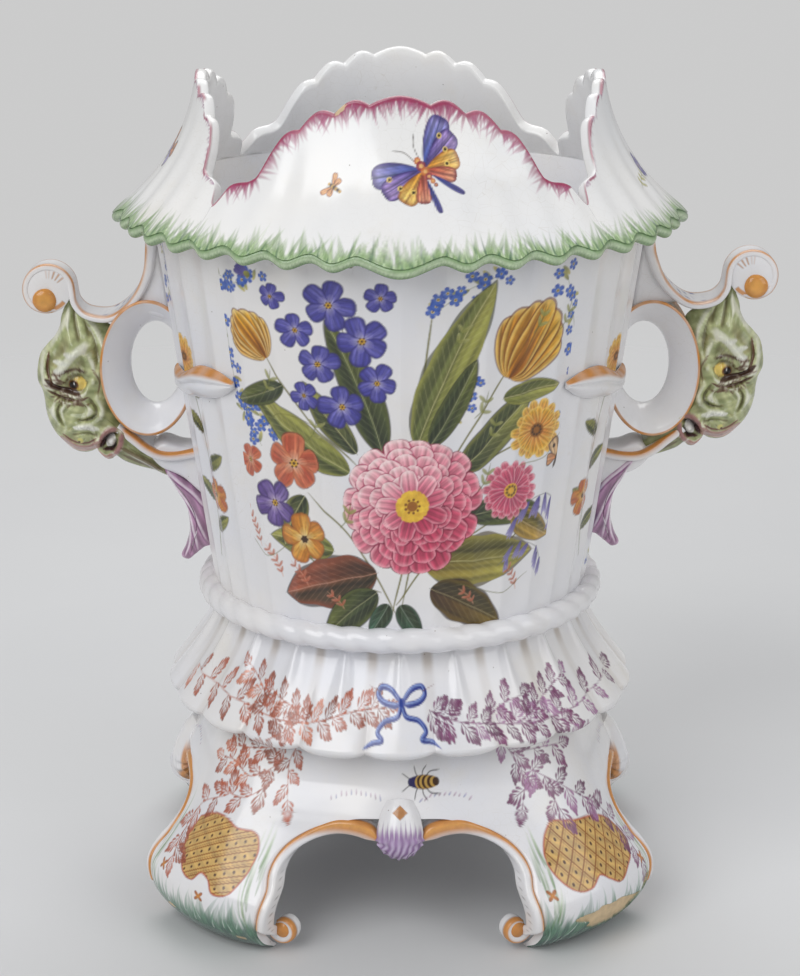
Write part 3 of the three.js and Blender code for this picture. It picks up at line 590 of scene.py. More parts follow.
def branch(c, points, deep, pale, size):
    """Garland stem with fern-like leaves on both sides, some of them paler."""
    c.stroke(points, 0.5, blend(deep, pale, 0.2), amount=0.8)
    path = curve(points, 60)
    length = np.linalg.norm(np.diff(path, axis=0), axis=1).sum()
    count = max(2, int(length / (size * 0.46)))
    for k in range(count + 1):
        i = min(int(59 * k / count), 58)
        way = path[i + 1] - path[i]
        heading = math.degrees(math.atan2(way[1], way[0]))
        lean = 0 if k == count else (1 if k % 2 else -1) * c.chance.uniform(38, 60)
        faded = c.chance.uniform() < 0.25
        tone = blend(deep, pale, 0.5) if faded else blend(deep, BLACK, c.chance.uniform(0, 0.3))
        frond(c, *path[i], heading + lean, size * c.chance.uniform(0.8, 1.1), tone, pale)


def ribbon(c, points, width):
    """Blue band with a dark lower edge and a pale upper one."""
    c.stroke(points, width, blend(COBALT, SKY, 0.25), ends=(0.6, 0.25), amount=0.93)
    for off, wide, tone in (((0.22, -0.2), 0.45, (30, 44, 122)), ((-0.22, 0.2), 0.22, (150, 172, 222))):
        shifted = np.asarray(points, float) + np.asarray(off) * width
        c.stroke(shifted, width * wide, tone, ends=(0.5, 0.2), amount=0.85)


def butterfly(c, x, y, turn, r, deep, body, accent):
    """Small winged insect from above."""
    for side in (-1, 1):
        c.petal(x, y, turn + side * 48, r, r * 0.72, body, blend(body, CREAM, 0.2), rim=deep, full=0.9,
                point=0.25, streak=0.25)
        c.petal(x, y, turn + side * 112, r * 0.75, r * 0.6, accent, blend(accent, CREAM, 0.25), rim=deep,
                full=0.9, point=0.25, streak=0.25)
        c.spot(*ray(x, y, turn + side * 48, 0.62 * r), 0.1 * r, deep)
        feeler = turn + side * 16
        c.stroke([(x, y), ray(x, y, feeler, 0.5 * r), ray(x, y, feeler + side * 6.9, 0.85 * r)], 0.35, deep)
    c.stroke([ray(x, y, turn, 0.32 * r), ray(x, y, turn, -0.5 * r)], 0.16 * r, BROWN, ends=(0.8, 0.3))


# Materials

class Nodes:
    """Short calls for building one material's nodes."""

    def __init__(self, name):
        self.material = bpy.data.materials.new(name)
        self.material.use_nodes = True
        self.tree = self.material.node_tree
        self.tree.nodes.clear()
        self.output = self.tree.nodes.new("ShaderNodeOutputMaterial")
        self.surface = self.tree.nodes.new("ShaderNodeBsdfPrincipled")
        self.link(self.surface.outputs["BSDF"], self.output.inputs["Surface"])

    def link(self, a, b):
        self.tree.links.new(a, b)

    def node(self, kind, **settings):
        made = self.tree.nodes.new(kind)
        for key, value in settings.items():
            setattr(made, key, value)
        return made

    def put(self, socket, value):
        """Feeds a socket from another socket, a colour as seen or a number."""
        if isinstance(value, bpy.types.NodeSocket):
            self.link(value, socket)
        elif isinstance(value, tuple) and len(value) == 3 and socket.type == "RGBA":
            socket.default_value = (*linear(value), 1)
        else:
            socket.default_value = value

    def place(self, scale=(1, 1, 1)):
        """Coordinates in metres that stay with the object."""
        coordinates = self.node("ShaderNodeTexCoord")
        mapping = self.node("ShaderNodeMapping")
        mapping.inputs["Scale"].default_value = scale
        self.link(coordinates.outputs["Object"], mapping.inputs["Vector"])
        return mapping.outputs["Vector"]

    def noise(self, scale, detail=3, vector=None, rough=0.5):
        made = self.node("ShaderNodeTexNoise")
        self.link(vector or self.place(), made.inputs["Vector"])
        made.inputs["Scale"].default_value = scale
        made.inputs["Detail"].default_value = detail
        made.inputs["Roughness"].default_value = rough
        return made.outputs["Fac"]

    def cells(self, scale, feature="F1", output="Distance"):
        made = self.node("ShaderNodeTexVoronoi", feature=feature)
        self.link(self.place(), made.inputs["Vector"])
        made.inputs["Scale"].default_value = scale
        return made.outputs[output]

    def ramp(self, value, low, high, start=0.0, end=1.0):
        made = self.node("ShaderNodeMapRange")
        self.link(value, made.inputs["Value"])
        for key, number in (("From Min", low), ("From Max", high), ("To Min", start), ("To Max", end)):
            made.inputs[key].default_value = number
        return made.outputs["Result"]

    def mix(self, factor, a, b, blend="MIX"):
        made = self.node("ShaderNodeMix", data_type="RGBA", blend_type=blend)
        self.put(made.inputs["Factor"], factor)
        self.put(made.inputs["A"], a)
        self.put(made.inputs["B"], b)
        return made.outputs["Result"]

    def math(self, operation, a, b):
        made = self.node("ShaderNodeMath", operation=operation)
        self.put(made.inputs[0], a)
        self.put(made.inputs[1], b)
        return made.outputs[0]

    def attribute(self, name):
        return self.node("ShaderNodeAttribute", attribute_name=name)

    def grey(self, value):
        made = self.node("ShaderNodeCombineColor")
        for k in range(3):
            self.link(value, made.inputs[k])
        return made.outputs["Color"]

    def bump(self, layers):
        """Bump from (height, strength, distance in metres) layers."""
        normal = None
        for height, strength, distance in layers:
            made = self.node("ShaderNodeBump")
            made.inputs["Strength"].default_value = strength
            made.inputs["Distance"].default_value = distance
            self.link(height, made.inputs["Height"])
            if normal is not None:
                self.link(normal, made.inputs["Normal"])
            normal = made.outputs["Normal"]
        self.link(normal, self.surface.inputs["Normal"])


def tin_glaze(name, base, cool):
    """Opaque white glaze: thick and thin places, pinholes, faint crazing, and painted colour."""
    n = Nodes(name)
    cloud = n.noise(14, 4)
    pooled = n.ramp(cloud, 0.35, 0.68)
    white = n.mix(pooled, base, cool)
    warm = n.ramp(n.noise(33, 3, rough=0.6), 0.56, 0.78, 0, 0.35)
    white = n.mix(warm, white, (228, 222, 208))
    lines = n.ramp(n.cells(230, "DISTANCE_TO_EDGE"), 0.0, 0.016, 1, 0)
    patch = n.ramp(n.noise(9, 2), 0.46, 0.62, 0, 0.3)
    white = n.mix(n.math("MULTIPLY", lines, patch), white, (196, 188, 176))
    speck = n.ramp(n.cells(150), 0.035, 0.055, 1, 0)
    rare = n.ramp(n.noise(60, 2), 0.57, 0.6)
    specks = n.math("MULTIPLY", speck, rare)
    white = n.mix(n.math("MULTIPLY", specks, 0.75), white, (112, 92, 76))
    paint = n.attribute("paint")
    wash = n.ramp(n.noise(240, 3, rough=0.6), 0.3, 0.7, 0.84, 1.08)
    painted = n.mix(1.0, paint.outputs["Color"], n.grey(wash), "MULTIPLY")
    colour = n.mix(paint.outputs["Alpha"], white, painted)
    n.link(colour, n.surface.inputs["Base Color"])
    dull = n.ramp(n.noise(45, 3), 0.3, 0.8, 0.13, 0.26)
    bare = n.ramp(paint.outputs["Alpha"], 1.3, 1.7)
    n.link(n.math("MAXIMUM", dull, n.math("MULTIPLY", bare, 0.9)), n.surface.inputs["Roughness"])
    n.surface.inputs["IOR"].default_value = 1.55
    n.bump([(n.noise(26, 2), 0.25, 0.0016), (n.noise(170, 3), 0.12, 0.0005),
            (specks, 0.5, -0.0004)])
    return n.material


GLAZE = tin_glaze("tin_glaze_white_look", WHITE, (224, 225, 231))
# The collar's copy of the same tin glaze is painted brighter: painted light on the well-lit collar.
LIT_COLLAR_GLAZE = tin_glaze("tin_glaze_collar_look", COLLAR_LIT_WHITE, (237, 238, 240))


# Vessel

def vessel_radius(z):
    """Radius of the bowl's sloping wall before its flutes."""
    return VESSEL_SEAT_R + VESSEL_SLOPE * (np.asarray(z, float) - SEAT_Z)


def vessel_face(azimuth, z):
    """Radius of the fluted outer face; the flutes die out under the rope."""
    ridge = np.sqrt(np.sin(np.radians(azimuth) * FLUTES / 2) ** 2 + 0.012) - 0.11
    return vessel_radius(z) - FLUTE_SCOOP * FLUTE_DEPTH * ridge * smooth(SEAT_Z + 4, SEAT_Z + 22, z)


def collar_point(t):
    """Radius and height of the collar's outer curve, from hem (0) to crest (1)."""
    t = np.asarray(t, float)
    a, b, c = (1 - t) ** 2, 2 * t * (1 - t), t * t
    return a * HEM_R + b * BEND_R + c * CREST_R, a * HEM_Z + b * BEND_Z + c * CREST_Z


def collar_normal(t):
    """Outward direction (r, z) across the collar sheet."""
    t = np.asarray(t, float)
    dr = (1 - t) * (BEND_R - HEM_R) + t * (CREST_R - BEND_R)
    dz = (1 - t) * (BEND_Z - HEM_Z) + t * (CREST_Z - BEND_Z)
    length = np.hypot(dr, dz)
    return dz / length, -dr / length


def collar_under(t, depth):
    """The same curve, some millimetres inside the sheet."""
    r, z = collar_point(t)
    nr, nz = collar_normal(t)
    return r - depth * nr, z - depth * nz


def rim_point(inset):
    """Where the wall, inset by some millimetres, meets the underside of the collar."""
    low, high = 0.0, 1.0
    for _ in range(40):
        mid = (low + high) / 2
        r, z = collar_under(mid, SHEET + GAP)
        if r > vessel_radius(z) - inset:
            low = mid
        else:
            high = mid
    return collar_under(low, SHEET + GAP)


STEMS = (((-4, 165), (2, 205), (-14, 262), (-26, 312)), ((0, 165), (12, 215), (36, 262), (50, 286)),
         ((-2, 165), (-22, 200), (-46, 224)), ((-2, 170), (20, 196), (58, 214)),
         ((0, 200), (8, 262), (14, 318)), ((-20, 240), (-44, 262), (-64, 292)),
         ((10, 230), (40, 240), (66, 252)), ((30, 200), (52, 196), (74, 210)),
         ((-10, 176), (-40, 186), (-66, 204)))
THIN_STEMS = (((-60, 196), (-74, 188), (-86, 196)), ((30, 180), (56, 172), (72, 180)),
              ((-40, 258), (-56, 262), (-66, 256)), ((60, 236), (74, 238), (86, 250)))
BLUE_SPRAYS = ((((84, 250), (88, 282), (80, 312), (72, 330)), 2.9), (((12, 312), (26, 322), (42, 330)), 2.8),
               (((-70, 244), (-82, 270), (-84, 304)), 2.9), (((-62, 252), (-74, 262), (-88, 262)), 2.7),
               (((-62, 330), (-74, 322), (-84, 324)), 2.7), (((24, 262), (32, 280), (30, 300)), 2.5))
LEAVES = ((8, 250, 72, 82, 20, LEAF, LEAF_PALE, -0.08), (-8, 246, 104, 66, 17, LEAF_DARK, LEAF, 0.12),
          (28, 236, 42, 52, 16, LEAF_DARK, LEAF_PALE, 0.1), (-24, 236, 152, 58, 17, LEAF, LEAF_PALE, -0.14),
          (14, 250, 58, 44, 12, LEAF_DARK, LEAF, 0.1), (-20, 246, 132, 40, 12, LEAF_DARK, LEAF_PALE, -0.1),
          (34, 214, 6, 40, 15, LEAF_DARK, LEAF, -0.14), (12, 192, -4, 60, 26, OLIVE, LEAF_PALE, 0.06),
          (-12, 186, 192, 54, 25, BROWN, RUST, 0.08), (16, 178, -24, 44, 20, BROWN, OLIVE, -0.05),
          (-12, 176, 214, 38, 17, LEAF_DARK, LEAF, 0.1), (-34, 196, 168, 36, 15, LEAF, LEAF_PALE, 0.12),
          (-48, 222, 236, 30, 13, LEAF_DARK, LEAF_PALE, 0.1), (58, 212, -36, 30, 14, OLIVE, GOLD, 0.1),
          (48, 270, 12, 30, 11, LEAF, LEAF_PALE, -0.1), (-54, 276, 208, 28, 11, LEAF_DARK, LEAF, -0.1),
          (0, 170, -62, 20, 11, LEAF_DARK, SEA_GREEN, 0.1),
          (-6, 170, -118, 18, 10, LEAF_DARK, SEA_GREEN, -0.1))
VIOLET_BLOOMS = ((-30, 316, 11, 0), (-46, 303, 8.5, 20), (-16, 300, 11.5, 40), (-36, 288, 9.5, 10),
                 (-10, 280, 9, 60), (-26, 268, 10.5, 30), (-56, 318, 6, 0), (-8, 320, 7, 15),
                 (-44, 272, 7, 45))
INDIGO = ((62, 60, 146), (132, 128, 200), (52, 48, 120), YELLOW)
CORAL = ((176, 74, 50), (226, 150, 110), (206, 120, 80), YELLOW)
MAUVE = ((84, 60, 130), (160, 140, 196), (70, 50, 110), YELLOW)
HONEY = ((196, 120, 40), (240, 204, 110), (176, 100, 40), BROWN)
PRIMROSES = ((-52, 238, 14, CORAL, 12), (-66, 216, 12, MAUVE, 50), (-50, 200, 12.5, HONEY, 30),
             (-78, 236, 8, CORAL, 40))
VIOLET_BUDS = ((-66, 326, 150), (-48, 332, 100), (-20, 334, 80), (0, 334, 60), (-60, 304, 190))
RUST_SPRIGS = ((-66, 178, 16), (-78, 192, 20), (66, 172, 14), (-30, 166, 9), (-50, 176, 12), (40, 168, 9))
GREEN_SPRIGS = ((22, 296), (40, 250), (-66, 270), (34, 262), (-44, 250), (74, 300), (-30, 208), (38, 226),
                (60, 300))
BROAD_LEAF = 19


def bouquet(c, mirrored=False):
    """Full bouquet over the front of the bowl; x runs round the wall and y is the height."""
    f = -1 if mirrored else 1

    def at(x, y):
        return x * f, y

    def turn(angle):
        return 180 - angle if mirrored else angle

    for stem in STEMS:
        c.stroke([at(*p) for p in stem], 0.9, blend(LEAF, OLIVE, 0.4))
    for points, size in BLUE_SPRAYS:
        small_bells(c, [at(*p) for p in points], size)
    for x, y, angle, long, wide, dark, light, bend in LEAVES:
        leaf(c, *at(x, y), turn(angle), long, wide, dark, light, bend=bend * f,
             vein=blend(light, CREAM, 0.45), toothed=0.05 if wide > BROAD_LEAF else 0.0)
    for x, y, r, k in VIOLET_BLOOMS:
        primrose(c, *at(x, y), r, *INDIGO, k)
    for x, y, angle in VIOLET_BUDS:
        for off in (-14, 14, 0):
            c.petal(*at(x, y), turn(angle + off), 8, 3.2, (110, 104, 180), VIOLET, full=0.7, point=0.5)
        c.petal(*at(x, y), turn(angle), 3.4, 3, LEAF, LEAF_PALE, full=0.6, point=0.6)
    goblet(c, *at(50, 280), turn(62), 29, AMBER, YELLOW, YELLOW_PALE)
    daisy(c, *at(68, 252), 15, 14, RUST, YELLOW, YELLOW_PALE, HAZEL)
    goblet(c, *at(-62, 288), turn(126), 19, AMBER, YELLOW, (250, 226, 160))
    bells(c, [at(56, 204), at(72, 218), at(84, 216), at(92, 204)], 11, VIOLET, VIOLET_PALE)
    bells(c, [at(52, 186), at(64, 196), at(76, 192), at(82, 182)], 9, (92, 84, 140), VIOLET_PALE)
    for x, y, r, tones, k in PRIMROSES:
        primrose(c, *at(x, y), r, *tones, k)
    daisy(c, *at(56, 224), 15.5, 17, CRIMSON, ROSE, ROSE_PALE, YELLOW)
    peony(c, *at(6, 220), 34)
    for x, y, high in RUST_SPRIGS:
        sprig(c, [at(x, y), at(x - 3, y + high * 0.5), at(x - 9, y + high)], RUST_PALE, RUST, 3.8)
    for x, y in GREEN_SPRIGS:
        sprig(c, [at(x, y), at(x + 4, y + 5), at(x + 6, y + 13)], LEAF, blend(LEAF, LEAF_PALE, 0.4), 5)
    for points in THIN_STEMS:
        c.stroke([at(*p) for p in points], 0.45, blend(LEAF, OLIVE, 0.3), amount=0.8)
    butterfly(c, *at(84, 236), turn(70), 11, BROWN, (214, 170, 120), (196, 120, 60))


def side_spray(c, flip):
    """Smaller spray for the walls beside the handles."""
    for base, lean in ((-1, -24), (1, 22)):
        x = base * 44
        points = [(x, 176), (x + lean * 0.3, 206), (x + lean * 0.2, 240), (x - lean * 0.2, 276)]
        c.stroke(points, 0.8, LEAF)
        for k, (px, py) in enumerate(curve(points, 7)[1:-1]):
            leaf(c, px, py, 90 + (58 if k % 2 else -58), 17, 7, LEAF_DARK, LEAF_PALE, vein=LEAF_PALE)
        if base * flip > 0:
            primrose(c, *points[-1], 11, VIOLET, VIOLET_PALE, blend(VIOLET, SKY, 0.4), YELLOW, 10)
            daisy(c, x + lean * 0.5, 212, 10, 12, CRIMSON, ROSE, ROSE_PALE, YELLOW)
        else:
            daisy(c, *points[-1], 11, 12, RUST, YELLOW, YELLOW_PALE, HAZEL)
            primrose(c, x + lean * 0.5, 210, 9, RUST, YELLOW, (180, 110, 40), BROWN, 30)
    small_bells(c, [(-20, 168), (-8, 188), (-14, 204)], 2.1)
    small_bells(c, [(22, 300), (30, 318), (22, 332)], 2.1)


VESSEL_PAINT_R = 107.0


def vessel_canvas(side):
    """Painting of one quarter of the bowl's wall."""
    half = math.radians(47) * VESSEL_PAINT_R
    c = Canvas(-half, half, 155, 350, {"front": 11, "right": 12, "back": 13, "left": 14}[side])
    if side in ("front", "back"):
        bouquet(c, mirrored=side == "back")
    else:
        side_spray(c, 1 if side == "right" else -1)
    return c


def vessel():
    """The bowl: four painted quarters of outer wall, and the lining with foot and floor."""
    base = SEAT_Z + GAP
    floor = base + FLOOR_THICK
    rim_r, rim_z = rim_point(0)
    lip_r, lip_z = rim_point(WALL)
    top = rim_z - 0.4
    bottom = base + FOOT_HEIGHT + 0.5
    for side, turn in (("front", 0), ("right", 90), ("back", 180), ("left", 270)):
        columns, rows = (361, 400) if side == "front" else (241, 200)
        a, z = np.meshgrid(np.linspace(-45, 45, columns), np.linspace(bottom, top, rows))
        canvas = vessel_canvas(side)
        tint = canvas.read(np.radians(a) * VESSEL_PAINT_R, z)
        shape = Shape()
        shape.grid(polar(vessel_face(a, z), a + turn, z), tint)
        dress(shape, "vessel_" + side, "vase", ["vessel"], GLAZE)
    rows = [(None, top), (rim_r - 0.6, rim_z), (lip_r + 0.6, lip_z)]
    rows += [(float(vessel_radius(z)) - WALL, z) for z in np.linspace(lip_z - 1, floor + 10, 14)]
    rows += [(FOOT_R - WALL - 4, floor + 4.5), (FOOT_R - WALL - 8, floor + 1.4), (FOOT_R - WALL - 15, floor),
             (30, floor), (0.01, floor), (0.01, base + 3), (FOOT_R - 15, base + 3),
             (FOOT_R - 13.4, base + 0.6), (FOOT_R - 12.4, base), (FOOT_R - 1, base), (FOOT_R, base + 1),
             (FOOT_R, base + FOOT_HEIGHT), (None, bottom)]
    azimuth = np.arange(0, 360, 0.75)
    grid = []
    for r, z in rows:
        radius = vessel_face(azimuth, z) if r is None else np.full(len(azimuth), float(r))
        grid.append(polar(radius, azimuth, z))
    shape = Shape()
    shape.grid(np.array(grid), around=True)
    dress(shape, "vessel_lining", "vase", ["vessel"], GLAZE)


def rope():
    """Twisted roll round the foot of the bowl, flat where it stands on the skirt."""
    centre_z = SEAT_Z + GAP + ROPE_TUBE_R * math.sin(math.radians(108))
    azimuth = np.arange(0, 360, 360 / (ROPE_STRANDS * 10))
    sides = 26
    around = 2 * np.pi * np.arange(sides) / sides
    a, s = np.meshgrid(azimuth, around, indexing="ij")
    phase = ROPE_STRANDS * np.radians(a) / 2 + s
    tube = ROPE_TUBE_R - 0.9 * (1 - np.sqrt(np.sin(phase + np.pi / 2) ** 2 + 0.01))
    points = polar(ROPE_R + tube * np.cos(s), a, centre_z + np.maximum(tube * np.sin(s), -ROPE_FLAT))
    shape = Shape()
    shape.grid(points, around=True, along_closed=True)
    dress(shape, "rope_moulding", "vase", ["rope_moulding"], GLAZE)


# Collar

def lobe_number(azimuth):
    """Lobes counted from the middle of a shell, whole at the middle of each lobe."""
    a = np.abs(azimuth)
    side = (45 - TIP_HALF_ANGLE) / SIDE_LOBES
    return np.where(a < TIP_HALF_ANGLE, a / (2 * TIP_HALF_ANGLE), 0.5 + (a - TIP_HALF_ANGLE) / side)


CREST_DROP = 2.8
CREST_LOBE = 3.4
CREST_RISE = ((0, 1), (8, 0.985), (16, 0.9), (23, 0.79), (30, 0.58), (33.5, 0.38), (35.5, 0.2), (38, 0.07),
              (42.5, 0))


def crest_z(azimuth):
    """Height of a shell's top edge: an arch of lobes between two notches."""
    lobe = np.abs(np.cos(np.pi * lobe_number(azimuth)))
    notch = smooth(42.3, 45, np.abs(azimuth))
    edge = SHOULDER_Z + (CREST_Z - CREST_DROP - SHOULDER_Z) * along(CREST_RISE, np.abs(azimuth))
    return edge + CREST_LOBE * (lobe - 0.6) * (1 - notch) + (NOTCH_Z - SHOULDER_Z) * notch


def collar_parameter(z):
    """Share of the collar's curve at a height."""
    bend = HEM_Z - 2 * BEND_Z + CREST_Z
    rise = 2 * (BEND_Z - HEM_Z)
    return (np.sqrt(rise * rise + 4 * bend * (z - HEM_Z)) - rise) / (2 * bend)


LOBE_SINK = 4.0
LOBE_PUSH = 2.6


def collar_face(azimuth, t, depth):
    """Point of the collar sheet at a quadrant azimuth, with rounded lobes and the longer tip at the hem."""
    azimuth, t, depth = np.broadcast_arrays(azimuth, t, depth)
    wave = 0.5 + 0.5 * np.cos(2 * np.pi * lobe_number(azimuth))
    tip = np.maximum(0, np.cos(np.pi / 2 * np.minimum(np.abs(azimuth) / TIP_HALF_ANGLE, 1)))
    hem = np.maximum(0, 1 - t / 0.26) ** 1.3
    ribs = np.maximum(0, 1 - t) ** 1.9 * smooth(3, 14, np.abs(azimuth))
    r, z = collar_point(t)
    nr, nz = collar_normal(t)
    r = r - depth * nr + LOBE_PUSH * (wave - 0.5) * (0.5 * hem + 0.75 * ribs) + 6 * tip * hem
    z = z - depth * nz - LOBE_SINK * wave * hem - 2.0 * tip * hem
    return r, z


COLLAR_T = np.linspace(0, 1, 200)
COLLAR_RUN = np.concatenate([[0], np.cumsum(np.hypot(*np.diff(collar_point(COLLAR_T), axis=1)))])
COLLAR_MM = 2.15
LIP_ROLL = 2.7
LIP_START = 0.05


def collar_run(t):
    """Distance up the collar from its hem."""
    return np.interp(t, COLLAR_T, COLLAR_RUN)


def feathers(c, spots, colour, pale, long, wide, spread, amount=0.85):
    """Tapering brush marks, each from (x, y, angle), that fade out along their length."""
    for x, y, angle in spots:
        c.petal(x, y, angle + c.chance.uniform(-spread, spread), c.chance.uniform(*long),
                c.chance.uniform(*wide), colour, pale, full=0.25, point=0.9, streak=0.22, fade=0.75,
                amount=amount, bend=c.chance.uniform(-0.12, 0.12))


HEM_STROKES = ((1.7, (8, 17), (1.4, 2.8), (122, 154, 98)), (1.1, (3, 8), (2.2, 3.6), (142, 172, 122)),
               (4.3, (6, 15), (0.6, 1.0), (66, 98, 80)), (3.7, (5, 16), (0.6, 1.2), (196, 214, 176)))
CREST_STROKES = ((0.95, (6, 13), (1.0, 2.1)), (0.7, (2, 6), (1.0, 1.8)))
SIDE_CREST_STROKES = ((1.3, (1.5, 4.5), (0.7, 1.3)),)
CREST_CHIP_X = -33.5


def collar_canvas(side):
    """Painting of one shell: green strokes at the hem, crimson ones at the crest, a motif between."""
    c = Canvas(-100, 100, -6, 90, sum(map(ord, side)))
    edge = np.linspace(-45, 45, 240)
    line = np.column_stack([edge * COLLAR_MM, collar_run(collar_parameter(crest_z(edge)))])
    for pace, long, wide, tone in HEM_STROKES:
        spots = [(x + c.chance.uniform(-0.5, 0.5), c.chance.uniform(-1, 1.5), 90)
                 for x in np.arange(-98, 98, pace)]
        feathers(c, spots, tone, blend(tone, GREEN_PALE, 0.5), long, wide, 24)
    bold = side in ("front", "back")
    for pace, long, wide in CREST_STROKES if bold else SIDE_CREST_STROKES:
        for x in np.arange(-92, 92, pace):
            y = np.interp(x, line[:, 0], line[:, 1])
            slope = np.interp(x + 1, line[:, 0], line[:, 1]) - y
            facing = math.degrees(math.atan(slope)) - 90
            feathers(c, [(x, y + 0.8, facing)], CRIMSON if bold else (140, 70, 128),
                     blend(CRIMSON, (214, 160, 200), 0.55), long, wide, 24, 0.9)
    for k in range(0 if bold else 11, len(edge) - 12, 11 if bold else 22):
        c.stroke(line[k:k + 11] - (0, 0.6), 1.1, blend(CRIMSON, ROSE, 0.3), amount=0.8)
    if side == "front":
        grand_butterfly(c, 12, 47, 128, 25)
        bee(c, -33, 38, 150, 7)
        c.chip(CREST_CHIP_X, float(np.interp(CREST_CHIP_X, line[:, 0], line[:, 1])), 4.2, 1.8, 40)
    else:
        butterfly(c, 14, 40, 60, 13, BROWN, (204, 120, 60), VIOLET_PALE)
        sprig(c, [(-40, 22), (-30, 27), (-18, 30)], LEAF, LEAF_PALE, 5)
        primrose(c, -16, 31, 7, VIOLET, VIOLET_PALE, COBALT, YELLOW, 20)
    return c


def grand_butterfly(c, x, y, turn, r):
    """Large winged insect in violet, gold and rose."""
    def wing(angle, start, long, wide, deep, body, tip):
        c.petal(*ray(x, y, turn + angle, start * r), turn + angle, long * r, wide * r, deep, body, rim=tip,
                full=0.8, point=0.3, streak=0.28, vein=blend(deep, BLACK, 0.4))

    for side in (-1, 1):
        wing(side * 62, 0.06, 1.0, 0.52, COBALT, VIOLET_PALE, (60, 46, 110))
        wing(side * 84, 0.06, 0.88, 0.46, VIOLET, (178, 150, 206), (60, 46, 110))
        wing(side * 112, 0.06, 0.72, 0.42, OCHRE, YELLOW_PALE, (150, 84, 30))
        wing(side * 140, 0.06, 0.62, 0.30, (176, 70, 60), (232, 168, 130), (110, 40, 50))
        wing(side * 160, 0.2, 0.72, 0.12, COBALT, VIOLET, None)
        for far, spread in ((0.72, 68), (0.6, 90), (0.5, 116)):
            spot = ray(x, y, turn + side * spread, far * r)
            c.spot(*spot, 0.055 * r, (244, 214, 120))
            c.spot(*spot, 0.028 * r, BLACK)
        feeler = turn + side * 14
        c.stroke([ray(x, y, feeler, 0.2 * r), ray(x, y, feeler, 0.5 * r),
                  ray(x, y, feeler + side * 10, 0.74 * r)], 0.45, BROWN)
    body = ((0.2, 0.075), (0.08, 0.1), (-0.05, 0.085), (-0.17, 0.07), (-0.28, 0.055), (-0.38, 0.04))
    for k, (far, size) in enumerate(body):
        spot = ray(x, y, turn, far * r)
        c.spot(*spot, size * r, (150, 60, 70) if k % 2 else (206, 120, 66))
        c.spot(*spot, size * r * 0.45, (240, 190, 120))


def bee(c, x, y, turn, r):
    """Tiny insect with four wings and six legs."""
    for side in (-1, 1):
        for angle, long in ((62, 1.0), (100, 0.75)):
            c.petal(x, y, turn + side * angle, long * r, 0.42 * r, (196, 124, 70), (230, 178, 120),
                    rim=(150, 80, 60), full=0.8, point=0.3, streak=0.2)
        for lean in (35, 70, 110):
            c.stroke([(x, y), ray(x, y, turn + side * lean, 0.5 * r)], 0.3, BROWN)
    for k in range(7):
        spot = ray(x, y, turn, (0.35 - 0.16 * k) * r)
        c.spot(*spot, r * (0.16 - 0.012 * abs(k - 3)), BROWN if k % 2 else GOLD)


def collar_columns(per_lobe):
    """Azimuths across a shell, with the same number of steps in every lobe."""
    half = int((SIDE_LOBES + 0.5) * per_lobe)
    number = np.arange(-half, half + 1) / per_lobe
    side = (45 - TIP_HALF_ANGLE) / SIDE_LOBES
    a = np.abs(number)
    return np.sign(number) * np.where(a < 0.5, a * 2 * TIP_HALF_ANGLE, TIP_HALF_ANGLE + (a - 0.5) * side)


def crest_cover(side, dabs, k):
    """Amount of crimson on row k of the crest's rounded edge."""
    if side == "front":
        return 0.85 if k < 3 else 0.3 * dabs
    if side == "back":
        return 0.5 * dabs * (k < 2)
    return 0.7 * dabs * (k < 3)


LIP_BANDS = ((10, 1.8), (14, 2.2), (6, 4))


def lip_paint(azimuth, turn, k):
    """Green glaze on row k of the rolled lip: a pale band of painted highlight on its outer face, a dark band
    of painted shade in the groove above it, deeper between the lobes, both patchy, and darker blue-green
    streaks underneath.
    """
    wave = 0.5 + 0.5 * np.cos(2 * np.pi * lobe_number(azimuth))
    patchy = 0.5 + 0.5 * np.sin(azimuth * 3.1 + turn) * np.sin(azimuth * 7.7)
    pale, dark, blue = (math.exp(-((k - middle) / wide) ** 2) for middle, wide in LIP_BANDS)
    lip = tinted(azimuth.shape, (132, 164, 112), 0.96)
    # Pale band of painted highlight, then dark band of painted shade, deeper between the lobes.
    lip = over(lip, (206, 222, 190), (0.5 + 0.4 * patchy) * pale)
    lip = over(lip, (84, 112, 86), (0.35 + 0.4 * (1 - wave)) * patchy * dark)
    return over(lip, (70, 96, 88), 0.5 * smooth(0.55, 0.9, np.sin(azimuth * 9 + k)) * blue)


